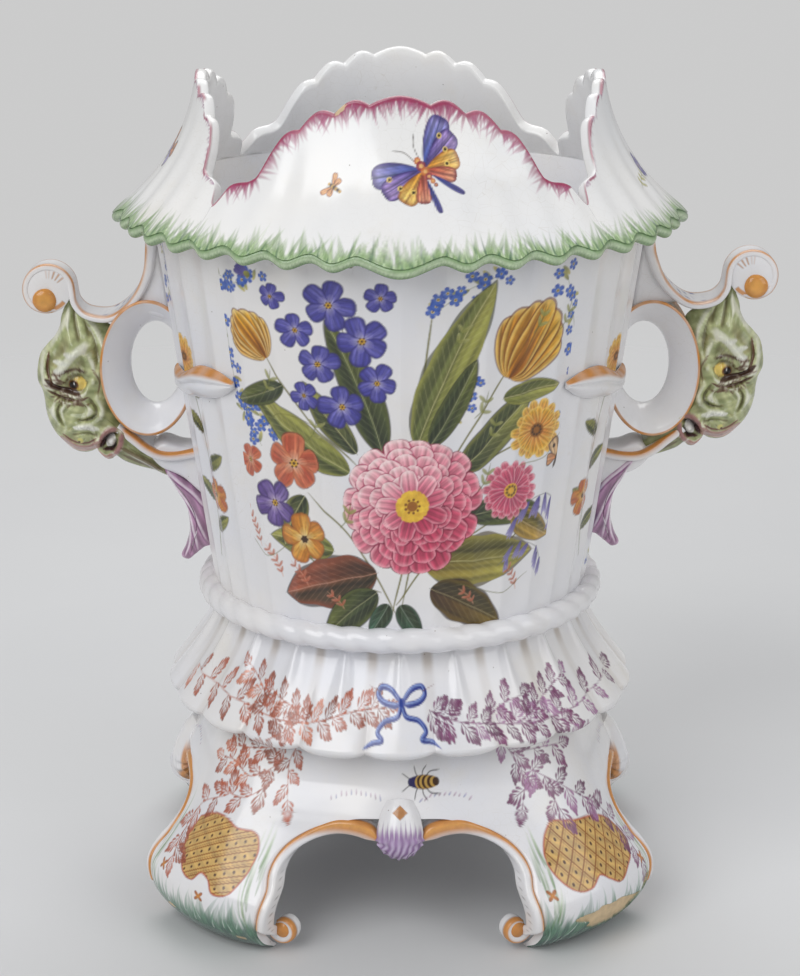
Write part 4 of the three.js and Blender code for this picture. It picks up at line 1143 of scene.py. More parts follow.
def collar_shell(name, turn):
    """One shell: painted face, crest edge, white back and rolled green lip, as one closed skin."""
    side = name.split("_")[1]
    azimuth = collar_columns(44 if side == "front" else 28)
    canvas = collar_canvas(side)
    top = collar_parameter(crest_z(azimuth))
    skin, tint = [], []

    def layer(r, z, colour):
        skin.append(polar(r, azimuth + turn, z))
        tint.append(colour)

    for f in np.linspace(0, 1, 150 if side == "front" else 90):
        t = LIP_START + (top - LIP_START) * f
        r, z = collar_face(azimuth, t, 0.0)
        layer(r, z, canvas.read(azimuth * COLLAR_MM, collar_run(t) - 3.0 + 3.0 * f))
    rim = canvas.read(azimuth * COLLAR_MM, collar_run(top) - 0.7)
    dabs = smooth(-0.9, 0.5, np.sin(azimuth * 0.42 + turn) + 0.5 * np.sin(azimuth * 1.13 + 2))
    for k in range(1, 7):
        angle = np.pi * k / 7
        r, z = collar_face(azimuth, top, SHEET / 2 * (1 - math.cos(angle)))
        cover = crest_cover(side, dabs, k)
        paint = over(tinted(azimuth.shape, CRIMSON, 0.0), blend(CRIMSON, ROSE, 0.3), cover)
        layer(r, z + 1.2 * math.sin(angle), np.where(rim[..., 3:] > 1.2, rim, paint))
    for f in np.linspace(1, 0, 24):
        r, z = collar_face(azimuth, LIP_START + (top - LIP_START) * f, SHEET)
        layer(r, z, tinted(azimuth.shape, GREEN, 0.0))
    nr, nz = collar_normal(0.0)
    middle_r, middle_z = collar_face(azimuth, LIP_START, SHEET / 2)
    for k in range(17):
        angle = math.radians(-116 + 232 * k / 16)
        across, onward = math.sin(angle), math.cos(angle)
        r = middle_r + LIP_ROLL * (nr * across + nz * onward * 0.9)
        z = middle_z + LIP_ROLL * (nz * across - nr * onward * 0.9)
        layer(r - 0.6, z, lip_paint(azimuth, turn, k))
    shape = Shape()
    shape.grid(np.array(skin), np.array(tint), along_closed=True)
    for edge, flip in ((0, True), (len(azimuth) - 1, False)):
        index = np.arange(len(skin)) * len(azimuth) + edge
        shape.faces.append(index.tolist() if flip else index[::-1].tolist())
    dress(shape, name, "vase", [name], LIT_COLLAR_GLAZE)


# Handles, made for the right side and mirrored for the left; u is the distance from the vase's axis

def strap(shape, path, half_width, thickness, paint=None, valley=0.0, sides=48):
    """Strap along a path in the XZ plane, its width across Y, edges rolled and middle hollowed."""
    count = len(path)
    ahead = path[np.minimum(np.arange(count) + 1, count - 1)]
    behind = path[np.maximum(np.arange(count) - 1, 0)]
    direction = ahead - behind
    direction /= np.linalg.norm(direction, axis=1)[:, None]
    f = np.linspace(0, 1, count)
    angle = 2 * np.pi * np.arange(sides) / sides
    c, s = np.cos(angle), np.sin(angle)
    flat = 0.45
    y = np.sign(c) * np.abs(c) ** flat
    n = np.sign(s) * np.abs(s) ** 0.75
    w = half_width(f)[:, None] * y
    hollow = valley * (1 - np.abs(y) ** 2.5) * np.sign(s) * (np.abs(s) > 0.3)
    h = thickness(f)[:, None] / 2 * n - hollow
    u = path[:, :1] - direction[:, 1:] * h
    z = path[:, 1:] + direction[:, :1] * h
    points = np.stack([u, np.broadcast_to(w, u.shape), z], axis=-1)
    tint = paint(f[:, None], np.broadcast_to(y, u.shape), np.broadcast_to(s, u.shape)) if paint else None
    shape.loft(points, tint)


def scroll_path(lift):
    """Middle line of the strap: down the wall, out in an S and round into the volute."""
    root_z = RING_Z + 67
    root_u = float(vessel_radius(root_z)) + 0.8
    coil = VOLUTE_R - STRAP_THICK / 2
    inside = VOLUTE_U - coil
    lead = [(root_u, root_z), (root_u + 0.8, root_z - 11), (root_u + 2.2, root_z - 20),
            (root_u + 6, root_z - 29), (root_u + 11.5, VOLUTE_Z - 6.5), (root_u + 18.5, VOLUTE_Z - 11.8),
            (root_u + 25.5, VOLUTE_Z - 13.6), (inside - 6, VOLUTE_Z - 11.8), (inside - 1.2, VOLUTE_Z - 6.5),
            (inside, VOLUTE_Z)]
    lead = [(u, z + lift * min(1, (root_z - z) / 20)) for u, z in lead]
    lead = curve(lead, 60)
    f = np.linspace(0.02, 1, 60)
    angle = np.pi * (1 - 2.9 * f)
    radius = coil - 6.6 * np.maximum(0, f - 0.42) / 0.58
    turns = np.column_stack([VOLUTE_U + radius * np.cos(angle), VOLUTE_Z + lift + radius * np.sin(angle)])
    return even(np.concatenate([lead, turns]), 130)


def slab(shape, outline, half_width, centre, tint, flat=0.3, rows=17):
    """Closed outline in the XZ plane, thickened across Y with rounded rims."""
    sections = []
    for k in range(rows):
        angle = math.pi * (k + 0.15) / (rows - 0.7) - math.pi / 2
        share = max(math.cos(angle), 0.04) ** flat
        flatness = np.full(len(outline), math.sin(angle) * half_width)
        sections.append(np.stack([centre[0] + (outline[:, 0] - centre[0]) * share, flatness,
                                  centre[1] + (outline[:, 1] - centre[1]) * share], axis=-1))
    sections = np.array(sections)
    shape.loft(sections, np.broadcast_to(tint, sections.shape[:2] + (4,)))


BOSS_OUT = 2.0
BOSS_DROP = 5.0
BOSS_PROFILE = ((-9.3, 0.1), (-9.2, 2.6), (-8.8, 4.3), (-7.9, 5.5), (-6.4, 6.1), (6.4, 6.1), (7.9, 5.5),
                (8.8, 4.3), (9.2, 2.6), (9.3, 0.1))


def disc_ring(u, z, r, y, count):
    """Circle round a point of the XZ plane, at a depth y."""
    angle = 2 * np.pi * np.arange(count) / count
    return np.stack([u + r * np.cos(angle), np.full(count, y), z + r * np.sin(angle)], axis=-1)


def volute_face(shape, lift):
    """White disc of the volute with engraved ochre strokes, and the round ochre boss."""
    reach = VOLUTE_R - STRAP_THICK * 0.55
    turn = np.degrees(2 * np.pi * np.arange(72) / 72)
    stripes = smooth(0.5, 0.85, np.cos(np.radians(turn * 26))) * (turn > 75) * (turn < 150)
    rows, tints = [], []
    radii = np.linspace(0.1, reach, 26)
    for face in (-1, 1):
        for r in (radii if face < 0 else radii[::-1]):
            y = face * (VOLUTE_HALF_WIDTH - 0.7 + 0.5 * math.sin(math.pi * r / reach))
            rows.append(disc_ring(VOLUTE_U, VOLUTE_Z + lift, r, y, 72))
            hatch = stripes * smooth(0.5, 0.58, r / reach) * smooth(0.95, 0.85, r / reach)
            under = smooth(0.72, 0.8, r / reach) * smooth(0.98, 0.92, r / reach) * (turn > 215) * (turn < 320)
            tint = over(tinted((72,), OCHRE, 0.0), OCHRE, 0.8 * hatch)
            tints.append(over(tint, OCHRE, 0.85 * under))
    shape.loft(np.array(rows), np.array(tints))
    rows, tints = [], []
    for y, r in BOSS_PROFILE:
        rows.append(disc_ring(VOLUTE_U + BOSS_OUT, VOLUTE_Z + lift - BOSS_DROP, r, y, 36))
        tints.append(over(tinted((36,), OCHRE, 0.95), (232, 178, 96), 0.5 if abs(y) > 9 else 0.15))
    shape.loft(np.array(rows), np.array(tints))


def scroll(name, side, lift):
    """Strap of one handle with its volute, and the web behind its bend."""
    shape = Shape()
    narrowing = HALF_WIDTH - VOLUTE_HALF_WIDTH

    def width(f):
        return HALF_WIDTH - narrowing * smooth(0.26, 0.52, f) - 1.6 * smooth(0.7, 1, f)

    def thickness(f):
        return STRAP_THICK + 3.6 * np.maximum(0, 1 - f / 0.3) - 1.2 * smooth(0.75, 1, f)

    def paint(f, y, s):
        tint = tinted(y.shape, OCHRE, 0.0)
        patchy = 0.8 + 0.2 * np.sin(40 * f) * np.sin(17 * f)
        edge = np.exp(-((s - 0.6) / 0.3) ** 2) * (np.abs(y) > 0.6) * smooth(0.02, 0.06, f)
        tint = over(tint, OCHRE, np.clip(1.3 * edge, 0, 1) * 0.92 * patchy)
        dabs = smooth(0.3, 0.8, np.sin(110 * f) * np.sin(9 * y + 30 * f)) * (s > 0.4) * (np.abs(y) < 0.7)
        return over(tint, COBALT, 0.75 * dabs * smooth(0.06, 0.1, f) * smooth(0.36, 0.3, f))

    path = scroll_path(lift)
    strap(shape, path, width, thickness, paint, valley=0.9)
    bend = int(len(path) * 0.27)
    heights = np.linspace(path[bend][1] - 6, path[2][1], 12)
    inner = np.column_stack([vessel_radius(heights) - 1.5, heights])
    outline = even(np.concatenate([path[2:bend], inner, path[2:3]]), 90)[:-1]
    slab(shape, outline, HALF_WIDTH * 0.82, outline.mean(axis=0), (0, 0, 0, 0), flat=0.16)
    volute_face(shape, lift)
    dress(mirror(shape, side), name, "vase", [name], GLAZE)


def mirror(shape, side, flip=(-1, 1, 1)):
    """The shape, mirrored where side is negative; flip says which way."""
    if side < 0:
        shape.points = [p * np.array(flip) for p in shape.points]
    return shape


def ring_axes(y):
    """Half axes of the ring's opening at a depth y."""
    flare = (y / HALF_WIDTH) ** 2
    return THROAT_A + (RIM_A - THROAT_A) * flare, THROAT_B + (RIM_B - THROAT_B) * flare


def finger_ring(name, side):
    """Flared oval ring; its inside face swells to the two rims, its outside is waisted."""
    count = 150
    angle = 2 * np.pi * np.arange(count) / count
    steps = 30
    profile = []
    for k in range(steps + 1):
        y = -HALF_WIDTH + 2 * HALF_WIDTH * k / steps
        a, b = ring_axes(y)
        profile.append((a, b, y, 0.0))
    rim = [(RIM_A + out, RIM_B + out, HALF_WIDTH + rise, line)
           for out, rise, line in ((0.4, 0.45, 0.1), (0.8, 0.5, 0.97), (1.7, 0.2, 0.97), (2.0, -0.5, 0.9))]
    profile += rim
    for k in range(steps + 1):
        y = HALF_WIDTH - 2 * HALF_WIDTH * k / steps
        a, b = ring_axes(y)
        wall = RING_WALL * (1 - (y / HALF_WIDTH) ** 2) + 1.2
        profile.append((a + wall, b + wall, y * 0.86, 0.5 * math.exp(-((abs(y) - HALF_WIDTH) / 0.7) ** 2)))
    profile += [(a, b, -y, line) for a, b, y, line in reversed(rim)]
    rows, tints = [], []
    for a, b, y, line in profile:
        shift = THROAT_SHIFT * max(0, 1 - (y / HALF_WIDTH) ** 2)
        patchy = 0.86 + 0.14 * np.sin(5 * angle + 1) * np.sin(11 * angle)
        rows.append(np.stack([a * np.cos(angle) - shift, np.full(count, y), b * np.sin(angle)], axis=-1))
        tints.append(tinted((count,), OCHRE, line * patchy))
    points = np.array(rows)
    tilt = math.radians(RING_TILT)
    u = points[..., 0] * math.cos(tilt) - points[..., 2] * math.sin(tilt)
    z = points[..., 0] * math.sin(tilt) + points[..., 2] * math.cos(tilt)
    points = np.stack([u + RING_U, points[..., 1], z + RING_Z], axis=-1)
    wall = np.hypot(points[..., 0], points[..., 1])
    floor = vessel_radius(points[..., 2]) - 1.2
    scale = np.maximum(1, floor / np.maximum(wall, 1))
    points[..., 0] *= scale
    points[..., 1] *= scale
    shape = Shape()
    shape.grid(points, np.array(tints), around=True, along_closed=True)
    dress(mirror(shape, side), name, "vase", [name], GLAZE)


MASK_EDGE = ((162, 296), (165.5, 287), (166.5, 282), (169, 277), (173, 272.5), (176.5, 268), (178.2, 261.5),
             (178.5, 255), (176.5, 250), (175.5, 245), (175, 239.5), (173.5, 233.5), (170.5, 227.5),
             (166, 222.5), (161.5, 218.8), (157, 217.5), (153, 218), (149.5, 219.5), (148, 216.5),
             (145.5, 214), (143, 214), (140.5, 215.5), (136, 212.5), (129.5, 210), (122, 208), (115, 205.5),
             (115, 213), (128, 226), (138, 244), (137, 264), (140, 280), (150, 286), (155, 290), (162, 296))
MASK_STEPS = 62
MASK_CENTRE = (155.0, 247.0)
MASK_EYE = (157.5, 256.0)
MASK_RIDGES = (
    (((170, 255), (166.5, 261), (161.5, 267), (156.5, 272), (152, 275)), 3.0, 4.2),
    (((153.5, 271), (149.5, 266), (147, 259)), 2.2, 2.2),
    (((165, 256), (161, 260.3), (156, 261.5), (152.5, 257.5)), 1.0, 1.6),
    (((164, 251.8), (159, 249.2), (154, 250.6), (152, 255)), 1.1, 1.5),
    (((161.5, 289), (164.5, 283), (169, 276), (171, 271)), 2.4, 2.2),
    (((174, 271.5), (175, 263.5), (174, 256), (171, 251)), 2.2, 2.2),
    (((171.5, 269), (172, 262), (169.5, 255)), 0.8, -1.8),
    (((148.5, 248.5), (145.5, 242.5), (148, 237.5), (154, 235.5), (160, 235.5)), 1.7, 2.0),
    (((154.5, 247.5), (151.5, 242.5), (154.5, 239), (161, 239)), 1.2, 1.8),
    (((151.5, 248), (148.5, 242.5), (151, 238.2), (157, 237.2)), 0.7, -1.6),
    (((163, 246), (165.5, 241.5), (163.5, 234)), 1.3, 1.8),
    (((168, 248), (170, 241.5), (167, 233.5)), 1.3, 1.8),
    (((165.5, 246), (167.8, 241), (165.5, 234)), 0.6, -1.6),
    (((172, 256.5), (166, 253.4), (160.5, 252)), 0.8, -2.0),
    (((172, 252), (166, 248.6), (160, 247.4)), 0.8, -1.8),
    (((159.5, 294), (158.5, 286), (156, 276)), 0.9, -1.7),
    (((161.5, 292), (161.8, 284), (160, 275)), 0.9, 1.4),
    (((157, 291), (153, 283), (151, 276)), 1.0, -1.5),
    (((155, 288), (148, 281), (144, 272), (144, 258)), 1.6, 1.8),
    (((151, 282), (147.8, 272), (147.6, 262)), 0.8, -1.3),
    (((162, 231.5), (155.5, 234.2), (149, 233.2), (146, 231)), 1.7, 2.2),
    (((160, 229.6), (154, 230.6), (149, 229.6)), 0.7, -1.2),
    (((165, 226.5), (159, 223.2), (152.5, 223.2), (147, 227.4), (143, 232), (138, 233)), 1.6, 2.6),
    (((150, 222), (145.5, 217.5), (141, 219), (137.5, 225), (136.5, 231.5)), 1.7, 2.6),
    (((147, 223.5), (143.5, 228.5), (139, 230.5)), 1.0, -3.2),
    (((145, 221.5), (141, 222.8), (139.2, 227)), 0.9, -3.0),
    (((136.5, 222), (127, 215), (117.5, 208)), 1.5, 1.8),
    (((133, 222), (125, 216), (118, 211)), 0.7, -1.2))
MASK_TONES = ((214, 218, 184), (142, 154, 98), (232, 234, 214), (112, 126, 76), (190, 198, 138),
              (164, 146, 100))
MASK_FOLDS = (
    (((173, 257), (167, 253.5), (161, 252), (156, 250.2)), 2.6, (58, 34, 30)),
    (((170, 260), (164, 261.5), (158, 263), (152.5, 261)), 1.5, (66, 40, 30)),
    (((172, 251.5), (165, 248.8), (158, 247.2), (152, 249)), 1.4, (86, 56, 44)),
    (((171.5, 270), (172.3, 262), (170, 255)), 1.2, (98, 62, 42)),
    (((160, 246), (155, 244.8), (151, 246)), 0.9, (96, 70, 48)),
    (((149.5, 263), (146.5, 257), (147.5, 250)), 0.8, (100, 76, 50)))
# The last spot is a white painted glint in the pupil.
MASK_EYE_SPOTS = ((156.4, 255.6, 3.3, (228, 192, 84)), (155.6, 255.4, 2.5, (240, 212, 116)),
                  (159.2, 255.0, 2.5, (96, 54, 20)), (159.4, 255.0, 1.9, (20, 14, 16)),
                  (158.9, 255.7, 0.45, (240, 240, 240)))
MASK_PAINTED_HIGHLIGHTS = ((156, 233.8, 9), (153, 234.2, 8), (150, 233.2, 6), (165, 266, 9), (160, 270, 8), (166, 262, 6))
MASK_LIPS = (
    (((167, 226.5), (160, 222.4), (152, 222.3), (146.6, 227)), 4.2, (176, 136, 128)),
    (((147, 227), (143, 232), (138.4, 232.8)), 3.0, (150, 104, 100)),
    (((150.5, 220.5), (145.5, 216.3), (141, 218)), 3.4, (190, 138, 128)),
    (((140.5, 218.5), (137.3, 225), (136.4, 231)), 2.6, (156, 106, 104)),
    (((166, 223.6), (160, 220.2), (154, 219.6)), 1.4, (214, 176, 166)),
    (((166, 229), (160, 225.6), (153, 225.4), (148.6, 228.4)), 0.9, (110, 62, 62)),
    (((147.2, 223.2), (144, 228.6), (139.8, 230.8)), 2.2, (64, 34, 40)),
    (((146, 221.4), (142, 221.4), (139.8, 226)), 1.6, (74, 40, 44)))
MASK_NECK = (((137, 223), (128, 216.5), (118, 209)), ((136, 218), (128, 213.4), (120, 209)))
MASK_BUMPS = ((157.5, 255.8, 3.2, 2.6), (154, 229, 5.0, 1.8), (157, 226, 2.0, 1.0), (141.6, 226.3, 1.9, 2.6),
              (165, 246.5, 1.2, 1.2), (161, 245.8, 1.2, 1.2), (150, 256.5, 1.8, 1.2), (171, 240, 3.0, 1.2),
              (150.5, 241.5, 2.4, 1.2))


def mask_relief(u, z):
    """Height of the modelling over the mask's side, in mm."""
    total = np.zeros(np.shape(u))
    for path, wide, high in MASK_RIDGES:
        best, where = nearest(u, z, curve(path, 46))
        taper = np.sin(np.pi * (0.08 + 0.84 * where)) ** 0.5
        total = total + high * taper * np.exp(-best / wide ** 2)
    for a, b, wide, high in MASK_BUMPS:
        total = total + high * np.exp(-(((u - a) ** 2 + (z - b) ** 2) / wide ** 2) ** 1.5)
    socket = np.hypot((u - MASK_EYE[0]) / 6.4, (z - MASK_EYE[1]) / 5.0)
    return total - 2.6 * np.exp(-socket ** 4)


MASK_SHEET = (108, 184, 198, 302)


def mask_ground(c):
    """Marbled green, olive and white glaze; painted highlight on the ridges and painted shade in the hollows,
    with the glaze thin on the ridges and pooled in the hollows, and painted shade over the lower part by the
    wall.
    """
    place, px, py = c.window(*MASK_SHEET)
    swirl = c.streaks(px * 0.9 + 0.5 * py, 9) + 0.8 * c.streaks(py - 0.4 * px + 2 * np.sin(px / 6), 7)
    base = np.asarray((172, 178, 130), float) + 28 * swirl[..., None] * (1, 0.95, 0.85)
    c.lay(place, np.clip(base, 0, 255), np.ones(px.shape))
    for k in range(420):
        x, y = c.chance.uniform(112, 182), c.chance.uniform(203, 300)
        down = math.degrees(math.atan2(y - 250, x - 150)) + c.chance.uniform(-40, 40)
        c.petal(x, y, down, c.chance.uniform(3, 9), c.chance.uniform(0.8, 2.2), MASK_TONES[k % 6],
                MASK_TONES[(k + 2) % 6], fade=0.5, amount=0.55, streak=0.3, bend=c.chance.uniform(-0.3, 0.3))
    # Painted shade: darker olive over the lower part next to the wall; the top is painted paler.
    c.lay(place, (104, 106, 62), 0.45 * smooth(150, 138, px) * smooth(250, 238, py))
    c.lay(place, (196, 206, 150), 0.4 * smooth(268, 284, py))
    relief = mask_relief(px, py)
    soft = relief.copy()
    for _ in range(26):
        soft = (np.roll(soft, 4, 0) + np.roll(soft, -4, 0) + np.roll(soft, 4, 1) + np.roll(soft, -4, 1)) / 4
    detail = relief - soft
    # Painted highlight on the ridges and painted shade in the hollows of the modelling, also standing for
    # glaze thin on ridges and pooled in hollows.
    c.lay(place, (236, 236, 222), 0.8 * smooth(0.25, 1.3, detail))
    c.lay(place, (88, 78, 48), 0.6 * smooth(-0.3, -1.4, detail))


def mask_eye(c):
    """Yellow eye with a dark pupil and a white painted glint, and the short hairs round it."""
    for k in range(70):
        far, way = c.chance.uniform(4, 11), c.chance.uniform(-2.2, 1.6)
        x, y = 160 + far * math.cos(way), 254 + 0.8 * far * math.sin(way)
        c.petal(x, y, math.degrees(way) + c.chance.uniform(-50, 50), c.chance.uniform(1.5, 4),
                c.chance.uniform(0.5, 1.2), (70, 40, 34) if k % 3 else (232, 230, 214), (96, 70, 50),
                amount=0.6)
    c.petal(160.8, 254.8, 0, -9.5, 8.2, (232, 200, 92), (222, 180, 64), rim=(190, 140, 50), full=0.6,
            point=0.6, streak=0.05)
    for x, y, r, tone in MASK_EYE_SPOTS:
        c.spot(x, y, r, tone)


def mask_canvas():
    """Painting of a mask's side: glaze, folds, eye, painted highlights on the ridges and pink lips."""
    c = Canvas(*MASK_SHEET, 77)
    mask_ground(c)
    for points, wide, tone in MASK_FOLDS:
        c.stroke(points, wide, tone, amount=0.85)
    mask_eye(c)
    # White strokes on the ridges: painted highlights.
    for x, y, long in MASK_PAINTED_HIGHLIGHTS:
        c.petal(x + long / 2, y, 180, long, 2.4, (236, 236, 230), (214, 216, 200), full=0.6, point=0.6,
                amount=0.85)
    for points, wide, tone in MASK_LIPS:
        c.stroke(points, wide, tone, amount=0.9)
    c.petal(143.6, 222.6, 112, 8.0, 4.6, (244, 242, 238), (228, 226, 222), full=0.6, point=0.6, streak=0.04)
    c.spot(157, 226.6, 1.5, (206, 200, 120))
    c.spot(157.6, 225.9, 0.6, (60, 40, 30))
    for points in MASK_NECK:
        c.stroke(points, 2.0, (100, 83, 56), amount=0.7)
    return c


def mask(name, side, lift, canvas):
    """Grotesque head between volute, ring and wall, the same on its front and back."""
    outline = curve(MASK_EDGE, 300)[:-1]
    rows, tints = [], []
    for k in range(-MASK_STEPS, MASK_STEPS + 1):
        share = max(math.sin(math.pi / 2 * (1 - abs(k) / (MASK_STEPS + 0.4))), 0.004)
        u = MASK_CENTRE[0] + (outline[:, 0] - MASK_CENTRE[0]) * share
        z = MASK_CENTRE[1] + (outline[:, 1] - MASK_CENTRE[1]) * share
        body = (HALF_WIDTH - 0.5) * (1 - share ** 2.8) ** 0.55
        body = body * (1 - 0.42 * smooth(272, 294, z)) * (1 - 0.3 * smooth(225, 208, z) * smooth(140, 125, u))
        body = body + mask_relief(u, z) * (1 - share ** 10)
        rows.append(np.stack([u, np.sign(k) * body, z + lift], axis=-1))
        tints.append(canvas.read(u, z))
    shape = Shape()
    shape.loft(np.array(rows)[::-1], np.array(tints)[::-1])
    dress(mirror(shape, side), name, "vase", [name], GLAZE)


WEB_EDGE = ((126, 219), (119, 211.5), (107, 205.5), (95, 195.5), (95.5, 209.5), (98, 221), (109, 223.5),
            (118.5, 226))
WEB_HALF_WIDTH = 10.5
LOWER_STRAP = ((139, 233), (131.5, 227), (125.5, 222), (119, 218.6), (110.5, 218), (98.5, 220))


def lower_scroll(name, side):
    """Strap under the ring, and the white web between it and the wall."""
    shape = Shape()
    path = even(curve(LOWER_STRAP, 60), 60)

    def paint(f, y, s):
        tint = tinted(y.shape, OCHRE, 0.0)
        edge = np.exp(-((s + 0.55) / 0.42) ** 2) * (np.abs(y) > 0.7)
        return over(tint, OCHRE, 0.94 * np.clip(1.3 * edge, 0, 1) * smooth(0.03, 0.1, f))

    strap(shape, path, lambda f: HALF_WIDTH - 0.6 - 1.4 * f, lambda f: 6.4 + 0 * f, paint, valley=0.8)
    outline = curve((*WEB_EDGE, WEB_EDGE[0]), 70)[:-1]
    slab(shape, outline, WEB_HALF_WIDTH, outline.mean(axis=0), (0, 0, 0, 0), flat=0.2)
    dress(mirror(shape, side), name, "vase", [name], GLAZE)


DROP_EDGE = ((117.5, 211), (113, 210.5), (107, 207), (100, 201), (94.5, 194), (94.2, 183.5), (93.2, 171),
             (98, 168), (102.5, 164.5), (106.5, 161.5), (110, 163.5), (107.5, 169.5), (105.4, 178.5),
             (106.6, 191.5), (110, 199), (113.5, 205.5))
DROP_RIBS = (((115, 210), (109, 204.5), (102, 198.5), (96, 191)),
             ((115, 209), (107.5, 198.5), (101.5, 188), (96, 172)),
             ((114, 207), (105.8, 192), (102.6, 179), (101, 168)),
             ((111.5, 203), (106, 188), (105, 174), (107.5, 165)))
DROP_SPINE = ((113, 207), (104, 194), (101, 182), (105, 166))
DROP_STEPS = 26


DROP_SHEET = (88, 122, 158, 216)


def leaf_drop_canvas():
    """Streaked purple glaze with a pale painted highlight along each raised rib and painted shade beside it;
    the edge by the wall stays white.
    """
    c = Canvas(*DROP_SHEET, 88)
    place, px, py = c.window(*DROP_SHEET)
    shade = 1 + 0.16 * c.streaks(px * 0.9 - py * 0.35, 4.5)
    c.lay(place, np.clip(np.asarray((176, 132, 166), float) * shade[..., None], 0, 255),
          0.94 * smooth(93.5, 97, px + 0.06 * (190 - py)))
    # The pale stroke on each raised rib is painted highlight; the dark stroke just beside it is painted
    # shade.
    for rib in DROP_RIBS:
        c.stroke(rib, 1.3, (240, 228, 238), amount=0.85)
        c.stroke(np.asarray(rib) + (0.9, -0.4), 0.8, (110, 58, 104), amount=0.7)
    return c


def leaf_drop(name, side, lift):
    """Purple leaf under the mask, ribbed, with its tip curled away from the wall."""
    c = leaf_drop_canvas()
    outline = curve((*DROP_EDGE, DROP_EDGE[0]), 180)[:-1]
    spine = curve(DROP_SPINE, 40)
    anchor = spine[np.argmin(((outline[:, None] - spine[None]) ** 2).sum(-1), axis=1)]
    rows, tints = [], []
    for k in range(-DROP_STEPS, DROP_STEPS + 1):
        share = max(math.sin(math.pi / 2 * (1 - abs(k) / (DROP_STEPS + 0.4))), 0.01)
        u = anchor[:, 0] + (outline[:, 0] - anchor[:, 0]) * share
        z = anchor[:, 1] + (outline[:, 1] - anchor[:, 1]) * share
        body = (5.5 + 7 * smooth(164, 186, z) - 2.5 * smooth(196, 210, z)) * (1 - share ** 3) ** 0.6
        for rib in DROP_RIBS:
            gap, _ = nearest(u, z, curve(rib, 40))
            body = body + 1.2 * np.exp(-gap / 1.3 ** 2) * (1 - share ** 6)
        rows.append(np.stack([u, np.sign(k) * body, z + lift], axis=-1))
        tints.append(c.read(u, z))
    shape = Shape()
    shape.grid(np.array(rows), np.array(tints), around=True)
    dress(mirror(shape, side), name, "vase", [name], GLAZE)


CLASP_MIDDLE = ((44, 271.5), (50, 270), (58, 268), (70, 262.5), (80, 262))
CLASP_HALF = ((44, 1.6), (50, 6.5), (58, 8), (70, 5.5), (80, 5.5))


def clasp(name, side, front):
    """Curled leaf on the wall that ties the ring down; front is 1 or -1."""
    azimuth = np.linspace(80, 44, 60)
    middle = along(CLASP_MIDDLE, azimuth)
    half = along(CLASP_HALF, azimuth)
    lift = 1.2 + 4.5 * np.sin(np.pi * (np.arange(60) + 7) / 74)
    v = np.linspace(-1, 1, 25)
    z = middle[:, None] + half[:, None] * v
    rise = (1 - v ** 2) ** 0.7 * (1 - 0.35 * np.exp(-(v / 0.16) ** 2))
    outer = polar(vessel_radius(z) + 0.1 + lift[:, None] * rise, azimuth[:, None], z)
    inner = polar(vessel_radius(z) - 0.4 + 0 * v, azimuth[:, None], z)
    ring = np.concatenate([outer, inner[:, ::-1]], axis=1)
    edge = np.concatenate([smooth(0.30, 0.62, v), 0 * v])
    along_leaf = np.linspace(0, 1, 60)[:, None]
    patchy = 0.9 + 0.1 * np.sin(40 * along_leaf + 2 * np.sin(9 * edge))
    tint = tinted(ring.shape[:2], OCHRE, np.broadcast_to(0.95 * edge * patchy, ring.shape[:2]))
    shape = Shape()
    shape.loft(ring, tint)
    mirror(shape, front, flip=(1, -1, 1))
    dress(mirror(shape, side), name, "vase", [name], GLAZE)


# Stand

def skirt_inner(z):
    """Inner radius of the skirt, which flares to its hem."""
    drop = (SEAT_Z - np.asarray(z, float)) / (SEAT_Z - SKIRT_HEM_Z)
    return SKIRT_TOP_R - SKIRT_THICK + (SKIRT_HEM_R - SKIRT_TOP_R) * np.maximum(drop, 0) ** 1.25


def skirt_face(azimuth, z):
    """Outer radius of the fluted skirt: thin ridge heads under the rope, round lobes at the hem."""
    drop = np.clip((SEAT_Z - z) / (SEAT_Z - SKIRT_HEM_Z), 0, 1)
    c = np.abs(np.cos(np.radians(azimuth) * SKIRT_FLUTES / 2))
    d = np.arccos(np.clip(c, 0, 1)) / (np.pi / 2)
    narrow = np.exp(-(d / (0.13 + 0.3 * drop)) ** 2)
    broad = np.sqrt(np.maximum(0, 1 - 0.86 * d * d))
    lobe = narrow * (1 - smooth(0.25, 1, drop)) + broad * smooth(0.25, 1, drop)
    depth = SKIRT_DEPTH * (0.45 + 0.55 * drop) * smooth(-0.02, 0.14, drop)
    return skirt_inner(z) + SKIRT_THICK + depth * (lobe - 0.62)


SKIRT_MM = 2.2
GARLANDS = {
    -1: (((-158, 118), (-114, 116), (-77, 113), (-53, 113), (-30, 119), (-7, 122)),
         ((-78, 114), (-88, 122), (-105, 130)), ((-53, 113), (-66, 119), (-81, 123)),
         ((-57, 113), (-66, 107), (-74, 103))),
    1: (((17, 120), (28, 116), (47, 113), (67, 111), (90, 110), (120, 112), (165, 117)),
        ((68, 112), (89, 118), (110, 125)), ((47, 113), (60, 119), (74, 122)),
        ((90, 110), (98, 106), (106, 103)))}
BOW_LOOP = ((0, 0), (0.45, 0.36), (0.95, 0.46), (1.12, 0.22), (0.85, -0.02), (0.35, -0.1), (0, 0))
BOW_TAIL = ((0, 0), (0.2, -0.45), (0.75, -0.62), (1.05, -0.95), (0.85, -1.2), (1.25, -1.3), (1.6, -1.5))
BOW_STALK = ((1.0, 0.3), (1.6, 0.5))


def bow(c, x, y, r):
    """Tied ribbon with two loops and two waving tails."""
    for f in (-1, 1):
        loop, tail, stalk = ([(x + f * u * r, y + v * r) for u, v in part]
                             for part in (BOW_LOOP, BOW_TAIL, BOW_STALK))
        ribbon(c, loop, 0.22 * r)
        ribbon(c, tail, 0.19 * r)
        c.stroke(stalk, 0.4, (120, 70, 70), amount=0.8)
    c.spot(x, y, 0.15 * r, COBALT)


